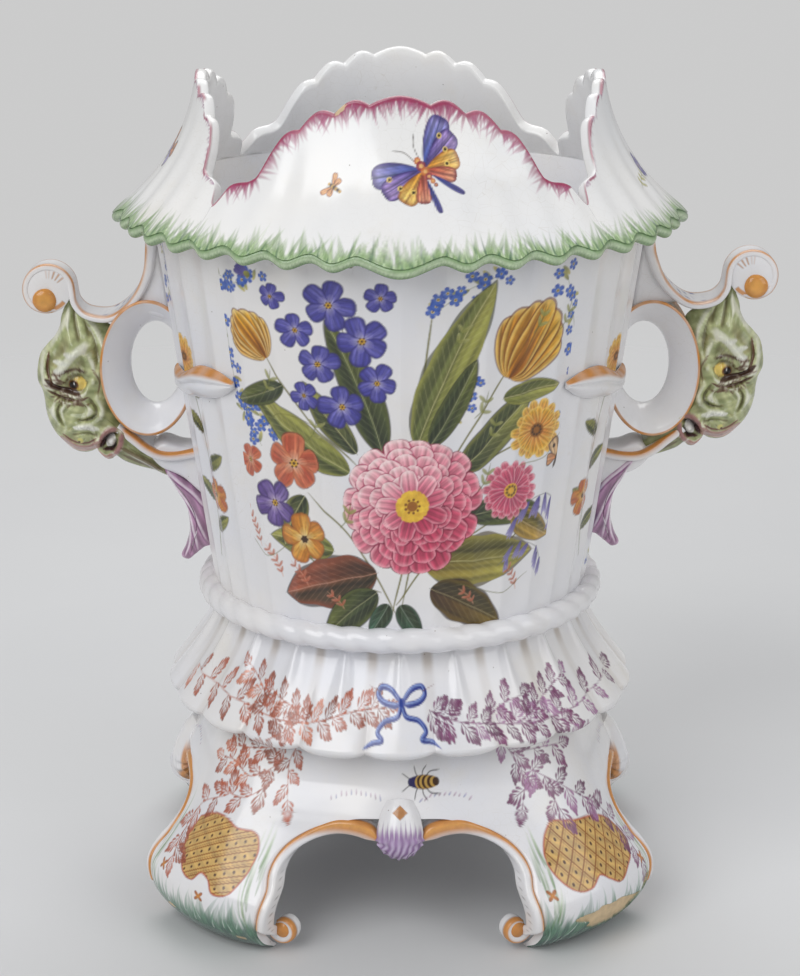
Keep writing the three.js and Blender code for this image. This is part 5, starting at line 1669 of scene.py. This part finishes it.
def skirt_canvas():
    """Bow and two garlands at the front and again at the back; x runs round the skirt."""
    c = Canvas(-181 * SKIRT_MM, 181 * SKIRT_MM, 98, 150, 31)
    for middle in (0, 180 * SKIRT_MM, -180 * SKIRT_MM):
        for side, deep, pale in ((-1, RUST, RUST_PALE), (1, PURPLE, LILAC)):
            for k, points in enumerate(GARLANDS[side]):
                branch(c, [(middle + x, y) for x, y in points], deep, pale, 12 if k == 0 else 10.5)
        bow(c, middle + 1, 124, 12.5)
    return c


def skirt():
    """Lobed skirt with its deck; brownish stain and painted shade gather in the valleys between the lobes,
    most under the rope.
    """
    azimuth = np.arange(-180, 180, 0.25)
    flat = np.zeros(len(azimuth))
    canvas = skirt_canvas()
    valley = smooth(0.45, 0.1, np.abs(np.cos(np.radians(azimuth) * SKIRT_FLUTES / 2)))
    rows, tints = [], []

    def plain(r, z):
        rows.append(polar(r + flat, azimuth, z))
        tints.append(np.zeros((len(azimuth), 4)))

    def painted(r, z, level):
        rows.append(polar(r, azimuth, z))
        # Brownish stain with painted shade in the valleys, strongest just under the rope.
        valley_stain_and_shade = valley * (0.16 + 0.34 * smooth(SEAT_Z - 13, SEAT_Z - 5, level))
        read = canvas.read(azimuth * SKIRT_MM, level + flat)
        tints.append(np.where(read[:, 3:] > 0.05, read, over(read, (150, 128, 98), valley_stain_and_shade)))

    plain(DECK_INNER_R, SEAT_Z - 0.8)
    plain(DECK_INNER_R + 0.8, SEAT_Z)
    plain(SKIRT_TOP_R - 1.5, SEAT_Z)
    wobble = 0.8 * np.sin(np.radians(azimuth * 3 + 40)) + 0.5 * np.sin(np.radians(azimuth * 7))
    for z in np.concatenate([[SEAT_Z - 0.5], np.linspace(SEAT_Z - 1.5, SKIRT_HEM_Z, 72)]):
        painted(skirt_face(azimuth, z), z + wobble * smooth(SEAT_Z, SKIRT_HEM_Z, z) * 0.5, z)
    hem = skirt_face(azimuth, SKIRT_HEM_Z)
    lobe = (hem - hem.min()) / (hem.max() - hem.min())
    for k in range(1, 9):
        angle = math.pi * k / 9
        sag = HEM_SAG * math.sin(angle)
        painted(hem - 2.7 * (1 - math.cos(angle)), SKIRT_HEM_Z + 0.5 * wobble - sag * (0.45 + 0.55 * lobe),
                SKIRT_HEM_Z - sag)
    for z in (SKIRT_HEM_Z, 112, WALL_TOP_Z, 130, SEAT_Z - SKIRT_THICK):
        plain(skirt_inner(z), z)
    plain(DECK_INNER_R, SEAT_Z - SKIRT_THICK)
    shape = Shape()
    shape.grid(np.array(rows), np.array(tints), around=True, along_closed=True)
    dress(shape, "skirt", "stand", ["skirt"], GLAZE)


SIDE_RADII = ((40, 107), (52, 109), (62, 109.5), (67, 108), (72, 105.8), (76, 103.8), (81, 101),
              (92, 98.5), (104, 96.5))
LEG_RADII = ((0, 129), (4, 134.5), (12, 142), (19, 145), (27, 146), (33, 144.5), (43, 138),
             (52, 131), (62, 123.5), (70, 118.5), (81, 112), (92, 106.5), (104, 101.5))
LEG_NARROWING = ((0, 0.8), (27, 0.9), (43, 2.3), (52, 3.8), (62, 5.5), (75, 5))
ARCH_EDGE = ((0, 29.8), (10, 29.8), (24, 28.8), (34, 28.2), (41, 29), (48, 28.6), (54, 26.6),
             (59, 23), (63, 18.5), (65.8, 12.5), (67, 8), (ARCH_TOP_Z, 0))


def wall_radius(azimuth, z):
    """Outer radius of a leg's wall at an azimuth from its seam (0 and 90) to its corner (45)."""
    top = float(skirt_inner(WALL_TOP_Z)) - 1.5 * GAP
    azimuth, z = np.broadcast_arrays(np.asarray(azimuth, float), np.asarray(z, float))
    side = along((*SIDE_RADII, (WALL_TOP_Z, top)), z)
    leg = along((*LEG_RADII, (WALL_TOP_Z, top)), z)
    from_corner = np.where(np.abs(azimuth) > 45, 90 - np.abs(azimuth), np.abs(azimuth))
    share = np.maximum(1e-6, np.cos(np.radians(2 * (45 - from_corner)))) ** along(LEG_NARROWING, z)
    return side + (leg - side) * share


def arch_edge(z):
    """Azimuth from the seam to the edge of the arch at a height."""
    return np.where(np.asarray(z) < ARCH_TOP_Z, along(ARCH_EDGE, z), 0.0)


LEG_MM = 2.25


def enclosed(px, py, edge):
    """Which places lie inside a closed outline."""
    inside = np.zeros(px.shape, bool)
    for (x0, y0), (x1, y1) in zip(edge, np.roll(edge, -1, axis=0)):
        crosses = (y0 > py) != (y1 > py)
        inside ^= crosses & (px < (x1 - x0) * (py - y0) / (y1 - y0 if y1 != y0 else 1e-9) + x0)
    return inside


def bands(px, py, middle):
    """Slanting bands that bend away from the middle: lines, dots and fine lines."""
    bent = px - middle
    v = (0.92 * py - 0.39 * px + 0.006 * bent ** 2) % 5.6
    lines = smooth(0.42, 0.12, np.minimum(np.abs(v - 0.9), np.abs(v - 4.3)))
    specks = smooth(0.8, 0.4, np.hypot(v - 2.6, (0.92 * px + 0.39 * py) % 4.2 - 2.1))
    return lines, specks, smooth(0.28, 0.1, np.abs(v - 5.2))


def diaper(px, py):
    """Crossed lines with a dot in each field: lines, dots and fine lines."""
    a, b = (px * 0.8 + py * 0.6) % 5.4, (px * 0.8 - py * 0.6) % 5.4
    lines = smooth(0.5, 0.15, np.minimum(np.abs(a - 2.7), np.abs(b - 2.7)))
    specks = smooth(0.85, 0.5, np.hypot(np.minimum(a, 5.4 - a), np.minimum(b, 5.4 - b)))
    return lines, specks, smooth(0.35, 0.1, np.minimum(np.abs(a - 1.6), np.abs(b - 3.8))) * 0.6


def cartouche(c, outline, style):
    """Gold panel with brown pattern lines, dots and a rust outline."""
    outline = np.asarray(outline, float)
    low, high = outline.min(axis=0) - 2, outline.max(axis=0) + 2
    place, px, py = c.window(low[0], high[0], low[1], high[1])
    edge = curve(np.concatenate([outline, outline[:1]]), 160)[:-1]
    inside = enclosed(px, py, edge)
    wash = 1 + 0.10 * c.streaks(px * 0.6 + py, 7)
    c.lay(place, np.clip(np.asarray(GOLD, float) * wash[..., None], 0, 255), inside * 0.92)
    if style == "bands":
        lines, specks, fine = bands(px, py, (low[0] + high[0]) / 2)
    else:
        lines, specks, fine = diaper(px, py)
    c.lay(place, (132, 78, 34), inside * np.maximum(lines * 0.85, fine * 0.5))
    c.lay(place, (70, 44, 34), inside * specks * 0.9)
    for k in range(0, len(edge), 20):
        c.stroke(edge[np.arange(k, k + 22) % len(edge)], 0.9, RUST, amount=0.85)


PANEL_LEFT = ((-11, 57), (-2, 61), (6, 61), (14, 58), (24, 57), (28, 51), (28, 44), (26, 38), (22, 32),
              (15, 31), (11, 36), (6, 38), (2, 34), (-5, 36), (-10, 42), (-13, 48))
PANEL_RIGHT = ((-19, 62), (-6, 60), (5, 59), (14, 56), (21, 50), (24, 43), (20, 38), (13, 35), (5, 31),
               (-1, 34), (-6, 37), (-12, 33), (-19, 33), (-25, 38), (-28, 46), (-25, 55))
SPRAYS_LEFT = (((38, 100), (33, 91), (33, 83), (36, 72)), ((33, 97), (14, 93), (-6, 90)),
               ((28, 88), (12, 80), (-2, 84), (-15, 83)), ((26, 80), (13, 71), (-1, 71)),
               ((2, 70), (-16, 61), (-19, 48), (-16, 38)))
SPRAYS_RIGHT = (((-36, 100), (-30, 90), (-27, 80), (-31, 70)), ((-30, 93), (-13, 93), (3, 92)),
                ((-27, 87), (-12, 79), (0, 71), (9, 65)), ((9, 66), (19, 56), (25, 46), (26, 32)),
                ((-20, 84), (-14, 72), (-12, 66)))


FOOT_STROKES = ((1.6, (4, 12), (12, 22), (2.4, 4.6), SEA_GREEN),
                (1.2, (-3, 8), (8, 16), (2.4, 4.4), (46, 74, 68)),
                (2.1, (8, 18), (10, 18), (0.8, 1.6), (96, 134, 112)),
                (3.2, (0, 16), (8, 16), (0.5, 0.9), (214, 222, 214)))
GROUND_Z = 17.0
CHIP_DEPTH = 1.6
CHIPS = {"leg_front_right": ((2, 15.5, 19, 7, -8), (30, 19, 4.5, 4.6, -24)),
         "leg_front_left": ((-14, 14, 3.6, 1.3, 0), (26, 9, 3.0, 1.2, 0))}


def arch_reach(z):
    """Distance on the canvas from a leg's middle to the edge of its arch."""
    return (45 - float(arch_edge(z))) * LEG_MM


def foot_grass(c):
    """Green ground with blades that rise from it and along the arch."""
    reach = arch_reach(20)
    place, px, py = c.window(-reach - 6, reach + 6, -3, 30)
    ground = GROUND_Z + 2.5 * c.streaks(px, 11)
    wash = 1 + 0.16 * c.streaks(px + 0.3 * py, 5)
    c.lay(place, np.asarray((68, 108, 90), float) * wash[..., None], 0.85 * smooth(5, -4, py - ground))
    for pace, start, long, wide, tone in FOOT_STROKES:
        spots = [(x, c.chance.uniform(*start), 90) for x in np.arange(-reach - 5, reach + 5, pace)]
        feathers(c, spots, tone, blend(tone, (170, 196, 176), 0.5), long, wide, 24)
    for side in (-1, 1):
        for z, angle in ((20, 100), (28, 96), (36, 92), (44, 84)):
            x = side * (arch_reach(z) - 5)
            for _ in range(6):
                c.petal(x + side * c.chance.uniform(-4, 2), z + c.chance.uniform(-4, 4),
                        angle if side > 0 else 180 - angle, c.chance.uniform(9, 18),
                        c.chance.uniform(0.6, 1.3), (96, 130, 84), GREEN_PALE, fade=0.7, amount=0.55)


def brow_dabs(c):
    """Row of short purple and blue dabs over each arch."""
    for side in (-1, 1):
        for k in range(11):
            x = side * (40 - 1.3 * k) * LEG_MM
            y = 74.5 + 2.4 * math.sin(k * 0.33) + c.chance.uniform(-0.4, 0.4)
            c.petal(x, y, 70 + side * 35, c.chance.uniform(2, 3.2), 0.8, PURPLE if k % 3 else COBALT, LILAC,
                    fade=0.4, amount=0.7)


def leg_canvas(name):
    """Painting of one leg; x is measured from the leg's middle, y is the height."""
    c = Canvas(-48 * LEG_MM, 48 * LEG_MM, -3, 124, sum(map(ord, name)))
    foot_grass(c)
    if name in ("leg_front_left", "leg_back_right"):
        deep, pale, panel, style = RUST, RUST_PALE, PANEL_LEFT, "bands"
        sprays, crosses = SPRAYS_LEFT, ((8, 28), (-20, 33))
    else:
        deep, pale, panel, style = PURPLE, LILAC, PANEL_RIGHT, "diaper"
        sprays, crosses = SPRAYS_RIGHT, ((-31, 33), (27, 33))
    cartouche(c, panel, style)
    for points in sprays:
        branch(c, points, deep, pale, 12)
    for x, y in crosses:
        for k in range(4):
            c.petal(x, y, 45 + 90 * k, 3.0, 1.6, OCHRE, (150, 80, 40))
    brow_dabs(c)
    if name == "leg_front_right":
        front_insect(c, -87, 83, 12)
    for chip in CHIPS.get(name, ()):
        c.chip(*chip)
    return c


def front_insect(c, x, y, r):
    """Small striped beetle that walks to the left."""
    for side in (-1, 1):
        for lean, reach in ((40, 0.9), (85, 0.8), (130, 1.0)):
            foot = math.radians(180 - side * (lean + 18))
            c.stroke([(x, y), ray(x, y, 180 - side * lean, reach * 0.5 * r),
                      (x + reach * r * math.cos(foot), y + reach * 0.85 * r * math.sin(foot))], 0.6, BLACK)
        c.stroke([(x - 0.5 * r, y), ray(x, y, 180 - side * 18, 1.15 * r)], 0.5, BLACK)
    for k in range(12):
        far = -0.62 + 0.115 * k
        c.spot(x + far * r, y, r * (0.12 + 0.16 * math.sin(math.pi * (k + 1.5) / 14)),
               (44, 40, 90) if k < 4 else (BROWN if k % 2 else GOLD))


FOOT_ROWS = (0, 0.6, 1.2, 2.0, 3, 4.5, 6, 7.5, 9)
CROWN_ROWS = (59.8, 60.6, 61.4, 62.1, 62.8, 63.4, 63.9, 64.4, 64.9, 65.3, 65.7, 66, 66.3, 66.55, 66.8, 67,
              67.2, 67.35, 67.5)


def leg(name, turn):
    """One leg between two arches, its wall painted outside and white inside."""
    fine = 2 if "front" in name else 1
    rows = np.array([*FOOT_ROWS, *np.arange(10.5, 59.6, 1.0 / fine), *CROWN_ROWS,
                     *np.linspace(68.2, WALL_TOP_Z, 54 * fine)])
    f = np.concatenate([[0, 0.003], np.linspace(0.008, 0.992, 210 * fine), [0.997, 1]])
    edge = arch_edge(rows)[:, None]
    azimuth = edge + (90 - 2 * edge) * f
    z = np.broadcast_to(rows[:, None], azimuth.shape)
    r = wall_radius(azimuth, z)
    border = np.minimum(azimuth - edge, 90 - edge - azimuth) * RAD_PER_DEGREE * 118
    lip = np.clip(1 - border / 1.8, 0, 1)
    round_off = np.where(z < ARCH_TOP_Z, 1.6 * (1 - np.sqrt(1 - lip ** 2)), 0)
    scallop = 0.5 + 0.5 * np.sin(np.radians(azimuth) * 44 + 1.3 * np.sin(np.radians(azimuth) * 9))
    foot = (1.2 + 1.6 * scallop) * smooth(7, 0, z) ** 2
    face = r - round_off - foot
    tint = leg_canvas(name).read((azimuth - 45) * LEG_MM, z)
    if name == "leg_front_right":
        face = face - CHIP_DEPTH * smooth(1.0, 1.8, tint[..., 3])
    outer = polar(face, azimuth + turn, z)
    inner = polar(r - LEG_THICK, azimuth + turn, z)
    shape = Shape()
    shape.grid(outer, tint)
    shape.grid(inner[:, ::-1])
    for column in (0, -1):
        strip = np.stack([inner[:, column], outer[:, column]], axis=1)
        shape.grid(strip if column == 0 else strip[:, ::-1])
    for row in (0, -1):
        strip = np.stack([inner[row], outer[row]], axis=0)
        shape.grid(strip[::-1] if row == 0 else strip)
    dress(shape, name, "stand", [name], GLAZE)


def arch_scroll_path():
    """Middle line of an arch's band as (radius, azimuth, z), and the middle of its volute."""
    inset = SCROLL_BAND / 2 - 0.3
    z = np.linspace(ARCH_TOP_Z - 1.5, 15.5, 60)
    az = arch_edge(z)
    r = wall_radius(az, z)
    slope_u = np.gradient(az) * RAD_PER_DEGREE * r
    slope_z = np.gradient(z)
    length = np.hypot(slope_u, slope_z)
    u = az + inset * slope_z / length / (r * RAD_PER_DEGREE)
    points = np.column_stack([u, z - inset * slope_u / length])
    lead = points[(points[:, 0] > 10) & (z < ARCH_TOP_Z - 2)]
    lead = np.concatenate([[(5.6, ARCH_TOP_Z - 10.0), (7.2, ARCH_TOP_Z - 6.4)], lead])
    az, z = lead[:, 0], lead[:, 1]
    r = wall_radius(az, z) - SCROLL_DEPTH / 2 + 1.0
    centre_r = r[-1] - FOOT_VOLUTE_INSET
    reach = FOOT_VOLUTE_R - SCROLL_BAND / 2
    centre_az = az[-1] * r[-1] / centre_r - FOOT_VOLUTE_SHIFT - reach / (centre_r * RAD_PER_DEGREE)
    f = np.linspace(0, 1, 40)[4:]
    angle = f * 1.72 * math.pi
    radius = reach * (1 - 0.42 * f)
    turn_az = centre_az + radius * np.cos(angle) / (centre_r * RAD_PER_DEGREE)
    turn_z = FOOT_VOLUTE_R + FOOT_VOLUTE_LIFT - radius * np.sin(angle)
    path = np.concatenate([np.column_stack([r, az, z]),
                           np.column_stack([np.full(len(f), centre_r), turn_az, turn_z])])
    return path, (centre_r, centre_az, FOOT_VOLUTE_R + FOOT_VOLUTE_LIFT)


def arch_paint(f, d, b):
    """Ochre line along a band, broader at its head, and brown ticks under its middle."""
    tint = tinted((len(f), len(d)), OCHRE, 0.0)
    head = smooth(0.32, 0.12, f)[:, None]
    line = np.exp(-((b[None] - 0.8) / (0.42 + 0.9 * head)) ** 2) * (d > 0.35)
    tint = over(tint, OCHRE, np.clip(1.4 * line, 0, 1) * 0.92)
    tint = over(tint, (232, 180, 100), 0.35 * head * (d > 0.6) * np.exp(-((b[None] - 0.5) / 0.25) ** 2))
    ticks = smooth(0.55, 0.8, np.sin(f * 190))[:, None] * np.exp(-((d[None] + 0.1) / 0.18) ** 2) * (b < -0.8)
    return over(tint, BROWN, 0.6 * ticks * smooth(0.45, 0.5, f)[:, None] * smooth(0.78, 0.72, f)[:, None])


EYE_PROFILE = ((-3.6, 0.1), (-3.6, 4.2), (3.4, 4.4), (4.6, 3.6), (5.3, 2.2), (5.6, 0.1))


def arch_eye(shape, r, azimuth, z):
    """Ochre button in the middle of a foot's volute."""
    middle = polar(r, azimuth, z)
    out = polar(1.0, azimuth, 0.0)
    up = np.array([0, 0, 1.0])
    a = 2 * np.pi * np.arange(30) / 30
    circle = np.cos(a)[:, None] * np.cross(out, up) + np.sin(a)[:, None] * up
    rows = [middle + out * rise + radius * circle for rise, radius in EYE_PROFILE]
    shape.loft(np.array(rows), tinted((len(EYE_PROFILE), 30), OCHRE, 0.94))


def arch_scroll(name, turn, side):
    """Band along one half of an arch: comma head by the drop, volute with an ochre eye at the foot."""
    path, eye = arch_scroll_path()
    corner = curve(polar(path[:, 0], path[:, 1], path[:, 2]), 300)
    for _ in range(14):
        corner[1:-1] = (corner[:-2] + 2 * corner[1:-1] + corner[2:]) / 4
    spots = even(corner, 170)
    azimuth = np.degrees(np.arctan2(spots[:, 0], -spots[:, 1]))
    out = polar(np.ones(len(azimuth)), azimuth, np.zeros(len(azimuth)))
    direction = np.gradient(spots, axis=0)
    direction -= out * np.einsum("ij,ij->i", direction, out)[:, None]
    direction /= np.linalg.norm(direction, axis=1)[:, None]
    across = np.cross(out, direction)
    f = np.linspace(0, 1, len(spots))
    band = SCROLL_BAND / 2 * (1 + 0.55 * smooth(0.30, 0.10, f)) * (1 - 0.3 * smooth(0.75, 1, f))
    band *= smooth(-0.02, 0.05, f) ** 0.6
    depth = SCROLL_DEPTH / 2 * (1 - 0.3 * smooth(0.6, 1, f))
    sides = 40
    angle = 2 * np.pi * np.arange(sides) / sides
    d = np.sign(np.cos(angle)) * np.abs(np.cos(angle)) ** 0.5
    b = np.sign(np.sin(angle)) * np.abs(np.sin(angle)) ** 0.5
    points = (spots[:, None] + out[:, None] * (d * depth[:, None])[..., None]
              + across[:, None] * (b * band[:, None])[..., None])
    shape = Shape()
    shape.loft(points, arch_paint(f, d, b))
    arch_eye(shape, *eye)
    mirror(shape, side)
    turn_about(shape, turn)
    dress(shape, name, "stand", [name], GLAZE)


def turn_about(shape, angle):
    """Turns a shape about the object's upright axis."""
    c, s = math.cos(math.radians(angle)), math.sin(math.radians(angle))
    turn = np.array([[c, -s, 0], [s, c, 0], [0, 0, 1]])
    shape.points = [p @ turn.T for p in shape.points]


DROP_PROFILE = ((106.5, 1), (110.8, 0.87), (114.8, 0.67), (117.8, 0.45), (118, 0.29), (116, 0.15),
                (111.5, 0.04), (105.5, 0))


def drop_paint(x, f, half, colour):
    """Glaze of a drop's face and, from the other side, of its back: purple streaks or ochre rims."""
    columns = x.shape[1]
    x = np.concatenate([x, x[:, ::-1]], axis=1)
    tint = tinted((len(f), 2 * columns), colour, 0.0)
    streak = 0.5 + 0.5 * np.sin(x * 23 + 4 * np.sin(f * 9))
    if colour == PURPLE:
        ragged = f + 0.05 * np.sin(x * 31) + 0.03 * np.sin(x * 57)
        tint = over(tint, (142, 104, 158), 0.9 * smooth(0.30, 0.46, ragged))
        tint = over(tint, (214, 200, 226), 0.75 * streak * smooth(0.38, 0.6, f))
        tint = over(tint, (96, 56, 112), 0.6 * (1 - streak) ** 2 * smooth(0.5, 0.7, f))
        diamond = np.abs(x * half / 3.8) + np.abs((f - 0.17) * 11)
        return over(tint, (176, 114, 40), 0.92 * smooth(1.0, 0.9, diamond))
    rim = smooth(0.84, 0.93, np.abs(x)) * smooth(0.2, 0.4, f)
    tip = smooth(0.72, 0.85, f + 0.1 * x ** 2)
    tint = over(tint, OCHRE, 0.92 * np.maximum(rim * 0.9, tip))
    back = np.arange(2 * columns) >= columns
    return over(tint, PURPLE, 0.8 * back * smooth(0.3, 0.4, f) * smooth(0.8, 0.7, f) * (streak > 0.4))


def drop(name, turn, low, colour):
    """Leaf-shaped drop: white brow above, ribbed and ruffled tip below, filled back to the wall."""
    profile = [(r, low + (DROP_TOP_Z - low) * f) for r, f in DROP_PROFILE]
    face = even(curve(profile, 90), 90)
    direction = np.gradient(face, axis=0)
    direction /= np.linalg.norm(direction, axis=1)[:, None]
    f = np.linspace(0, 1, len(face))[:, None]
    half = 5.2 + 6.0 * np.sin(np.pi * np.minimum(1, 0.1 + 0.85 * f))
    thick = DROP_THICK * (0.5 + 0.5 * np.sin(np.pi * np.minimum(1, 0.08 + f * 0.9)))
    x = np.linspace(-1, 1, 49)[None]
    lower = smooth(0.35, 0.6, f)
    ruffle = 1 + 0.07 * lower * np.sin(f * 40)
    ribs = lower * 0.9 * np.abs(np.sin(np.pi * x * 2.6 + 0.5))
    depth = (0.02 + 0.42 * np.abs(x) ** 2.2) * thick + ribs
    front = np.stack([x * half * ruffle, -(face[:, :1] + direction[:, 1:] * depth),
                      face[:, 1:] - direction[:, :1] * depth], axis=-1)
    behind = np.stack([x[:, ::-1] * half * 0.8, -(face[:, :1] + direction[:, 1:] * thick) + 0 * x,
                       face[:, 1:] - direction[:, :1] * thick + 0 * x], axis=-1)
    ring = np.concatenate([front, behind], axis=1)
    shape = Shape()
    shape.loft(ring, drop_paint(x, f, half, colour))
    turn_about(shape, turn)
    dress(shape, name, "stand", [name], GLAZE)


# Camera, lights and floor

WORLD_LIGHT = 0.36
BACKDROP_LEVEL = 0.60
IMAGE_HEIGHT = 976
FOCAL_PIXELS = 2420.0
SENSOR_MM = 36
CAMERA_PLACE = (0, -1.158, 0.548)
CAMERA_DOWN = 16.8
FLOOR_HALF = 1.6
FLOOR_FADE = (0.45, 1.5)
FLOOR_GAP = 0.0004
LAMPS = (("key_left", (-1.7, -2.2, 2.3), (0, 0, 0.2), (2.4, 2.4), 62),
         ("fill_right", (2.3, -1.7, 1.5), (0, 0, 0.2), (2.2, 2.4), 26),
         ("top_back", (0.1, 1.5, 2.4), (0, 0, 0.25), (2.6, 1.6), 34))


def camera():
    """Camera at the photograph's place, tilt and angle of view."""
    data = bpy.data.cameras.new("photo_camera")
    data.sensor_fit = "VERTICAL"
    data.sensor_height = SENSOR_MM
    data.lens = FOCAL_PIXELS / IMAGE_HEIGHT * SENSOR_MM
    data.dof.use_dof = False
    data.clip_start = 0.01
    eye = bpy.data.objects.new("photo_camera", data)
    eye.location = CAMERA_PLACE
    eye.rotation_euler = (math.radians(90 - CAMERA_DOWN), 0, 0)
    bpy.context.scene.collection.objects.link(eye)
    bpy.context.scene.camera = eye


def lamp(name, place, aim, size, watts):
    """Soft white area light."""
    data = bpy.data.lights.new(name, "AREA")
    data.shape = "RECTANGLE"
    data.size, data.size_y = size
    data.energy = watts
    made = bpy.data.objects.new(name, data)
    made.location = place
    made.rotation_euler = (Vector(aim) - Vector(place)).to_track_quat("-Z", "Y").to_euler()
    bpy.context.scene.collection.objects.link(made)


def daylight():
    """Even light from all round; the camera sees it a little brighter than the object does."""
    world = bpy.data.worlds.new("studio_world")
    world.use_nodes = True
    tree = world.node_tree
    background = tree.nodes["Background"]
    background.inputs["Color"].default_value = (1, 1, 1, 1)
    path = tree.nodes.new("ShaderNodeLightPath")
    level = tree.nodes.new("ShaderNodeMapRange")
    level.inputs["To Min"].default_value = WORLD_LIGHT
    level.inputs["To Max"].default_value = BACKDROP_LEVEL
    tree.links.new(path.outputs["Is Camera Ray"], level.inputs["Value"])
    tree.links.new(level.outputs["Result"], background.inputs["Strength"])
    bpy.context.scene.world = world


def ground():
    """Pale seamless ground that keeps the shadow and fades out far from the object."""
    floor = Nodes("pale_floor")
    tone = floor.mix(floor.ramp(floor.noise(2.5, 3), 0.3, 0.7), (206, 207, 209), (212, 213, 214))
    floor.link(tone, floor.surface.inputs["Base Color"])
    floor.surface.inputs["Roughness"].default_value = 0.75
    reach = floor.node("ShaderNodeVectorMath", operation="LENGTH")
    floor.link(floor.place(), reach.inputs[0])
    clear = floor.node("ShaderNodeBsdfTransparent")
    fading = floor.node("ShaderNodeMixShader")
    floor.link(floor.ramp(reach.outputs["Value"], *FLOOR_FADE), fading.inputs["Fac"])
    floor.link(floor.surface.outputs["BSDF"], fading.inputs[1])
    floor.link(clear.outputs["BSDF"], fading.inputs[2])
    floor.link(fading.outputs["Shader"], floor.output.inputs["Surface"])
    mesh = bpy.data.meshes.new("floor")
    r = FLOOR_HALF
    mesh.from_pydata([(-r, -r, 0), (r, -r, 0), (r, r, 0), (-r, r, 0)], [], [(0, 1, 2, 3)])
    mesh.materials.append(floor.material)
    plane = bpy.data.objects.new("floor", mesh)
    plane.location.z = -FLOOR_GAP
    bpy.context.scene.collection.objects.link(plane)


def vase():
    """Everything that lifts off with the bowl."""
    face = mask_canvas()
    vessel()
    rope()
    for k, side in enumerate(("front", "right", "back", "left")):
        collar_shell("collar_" + side, 90 * k)
    for side, sign, lift in (("right", 1, RIGHT_LIFT), ("left", -1, 0.0)):
        scroll("scroll_" + side, sign, lift)
        finger_ring("finger_ring_" + side, sign)
        mask("mask_" + side, sign, lift, face)
        lower_scroll("lower_scroll_" + side, sign)
        leaf_drop("leaf_drop_" + side, sign, lift)
        clasp("clasp_front_" + side, sign, 1)
        clasp("clasp_back_" + side, sign, -1)


def stand():
    """Everything that stays on the ground."""
    skirt()
    for k, corner in enumerate(("front_right", "back_right", "back_left", "front_left")):
        leg("leg_" + corner, 90 * k)
    for k, side in enumerate(("front", "right", "back", "left")):
        arch_scroll(f"arch_scroll_{side}_a", 90 * k, -1)
        arch_scroll(f"arch_scroll_{side}_b", 90 * k, 1)
        drop("drop_" + side, 90 * k, SIDE_DROP_Z if k % 2 else FRONT_DROP_Z, WHITE if k % 2 else PURPLE)


bpy.context.scene.view_settings.view_transform = "Standard"
camera()
daylight()
for facts in LAMPS:
    lamp(*facts)
ground()
vase()
stand()
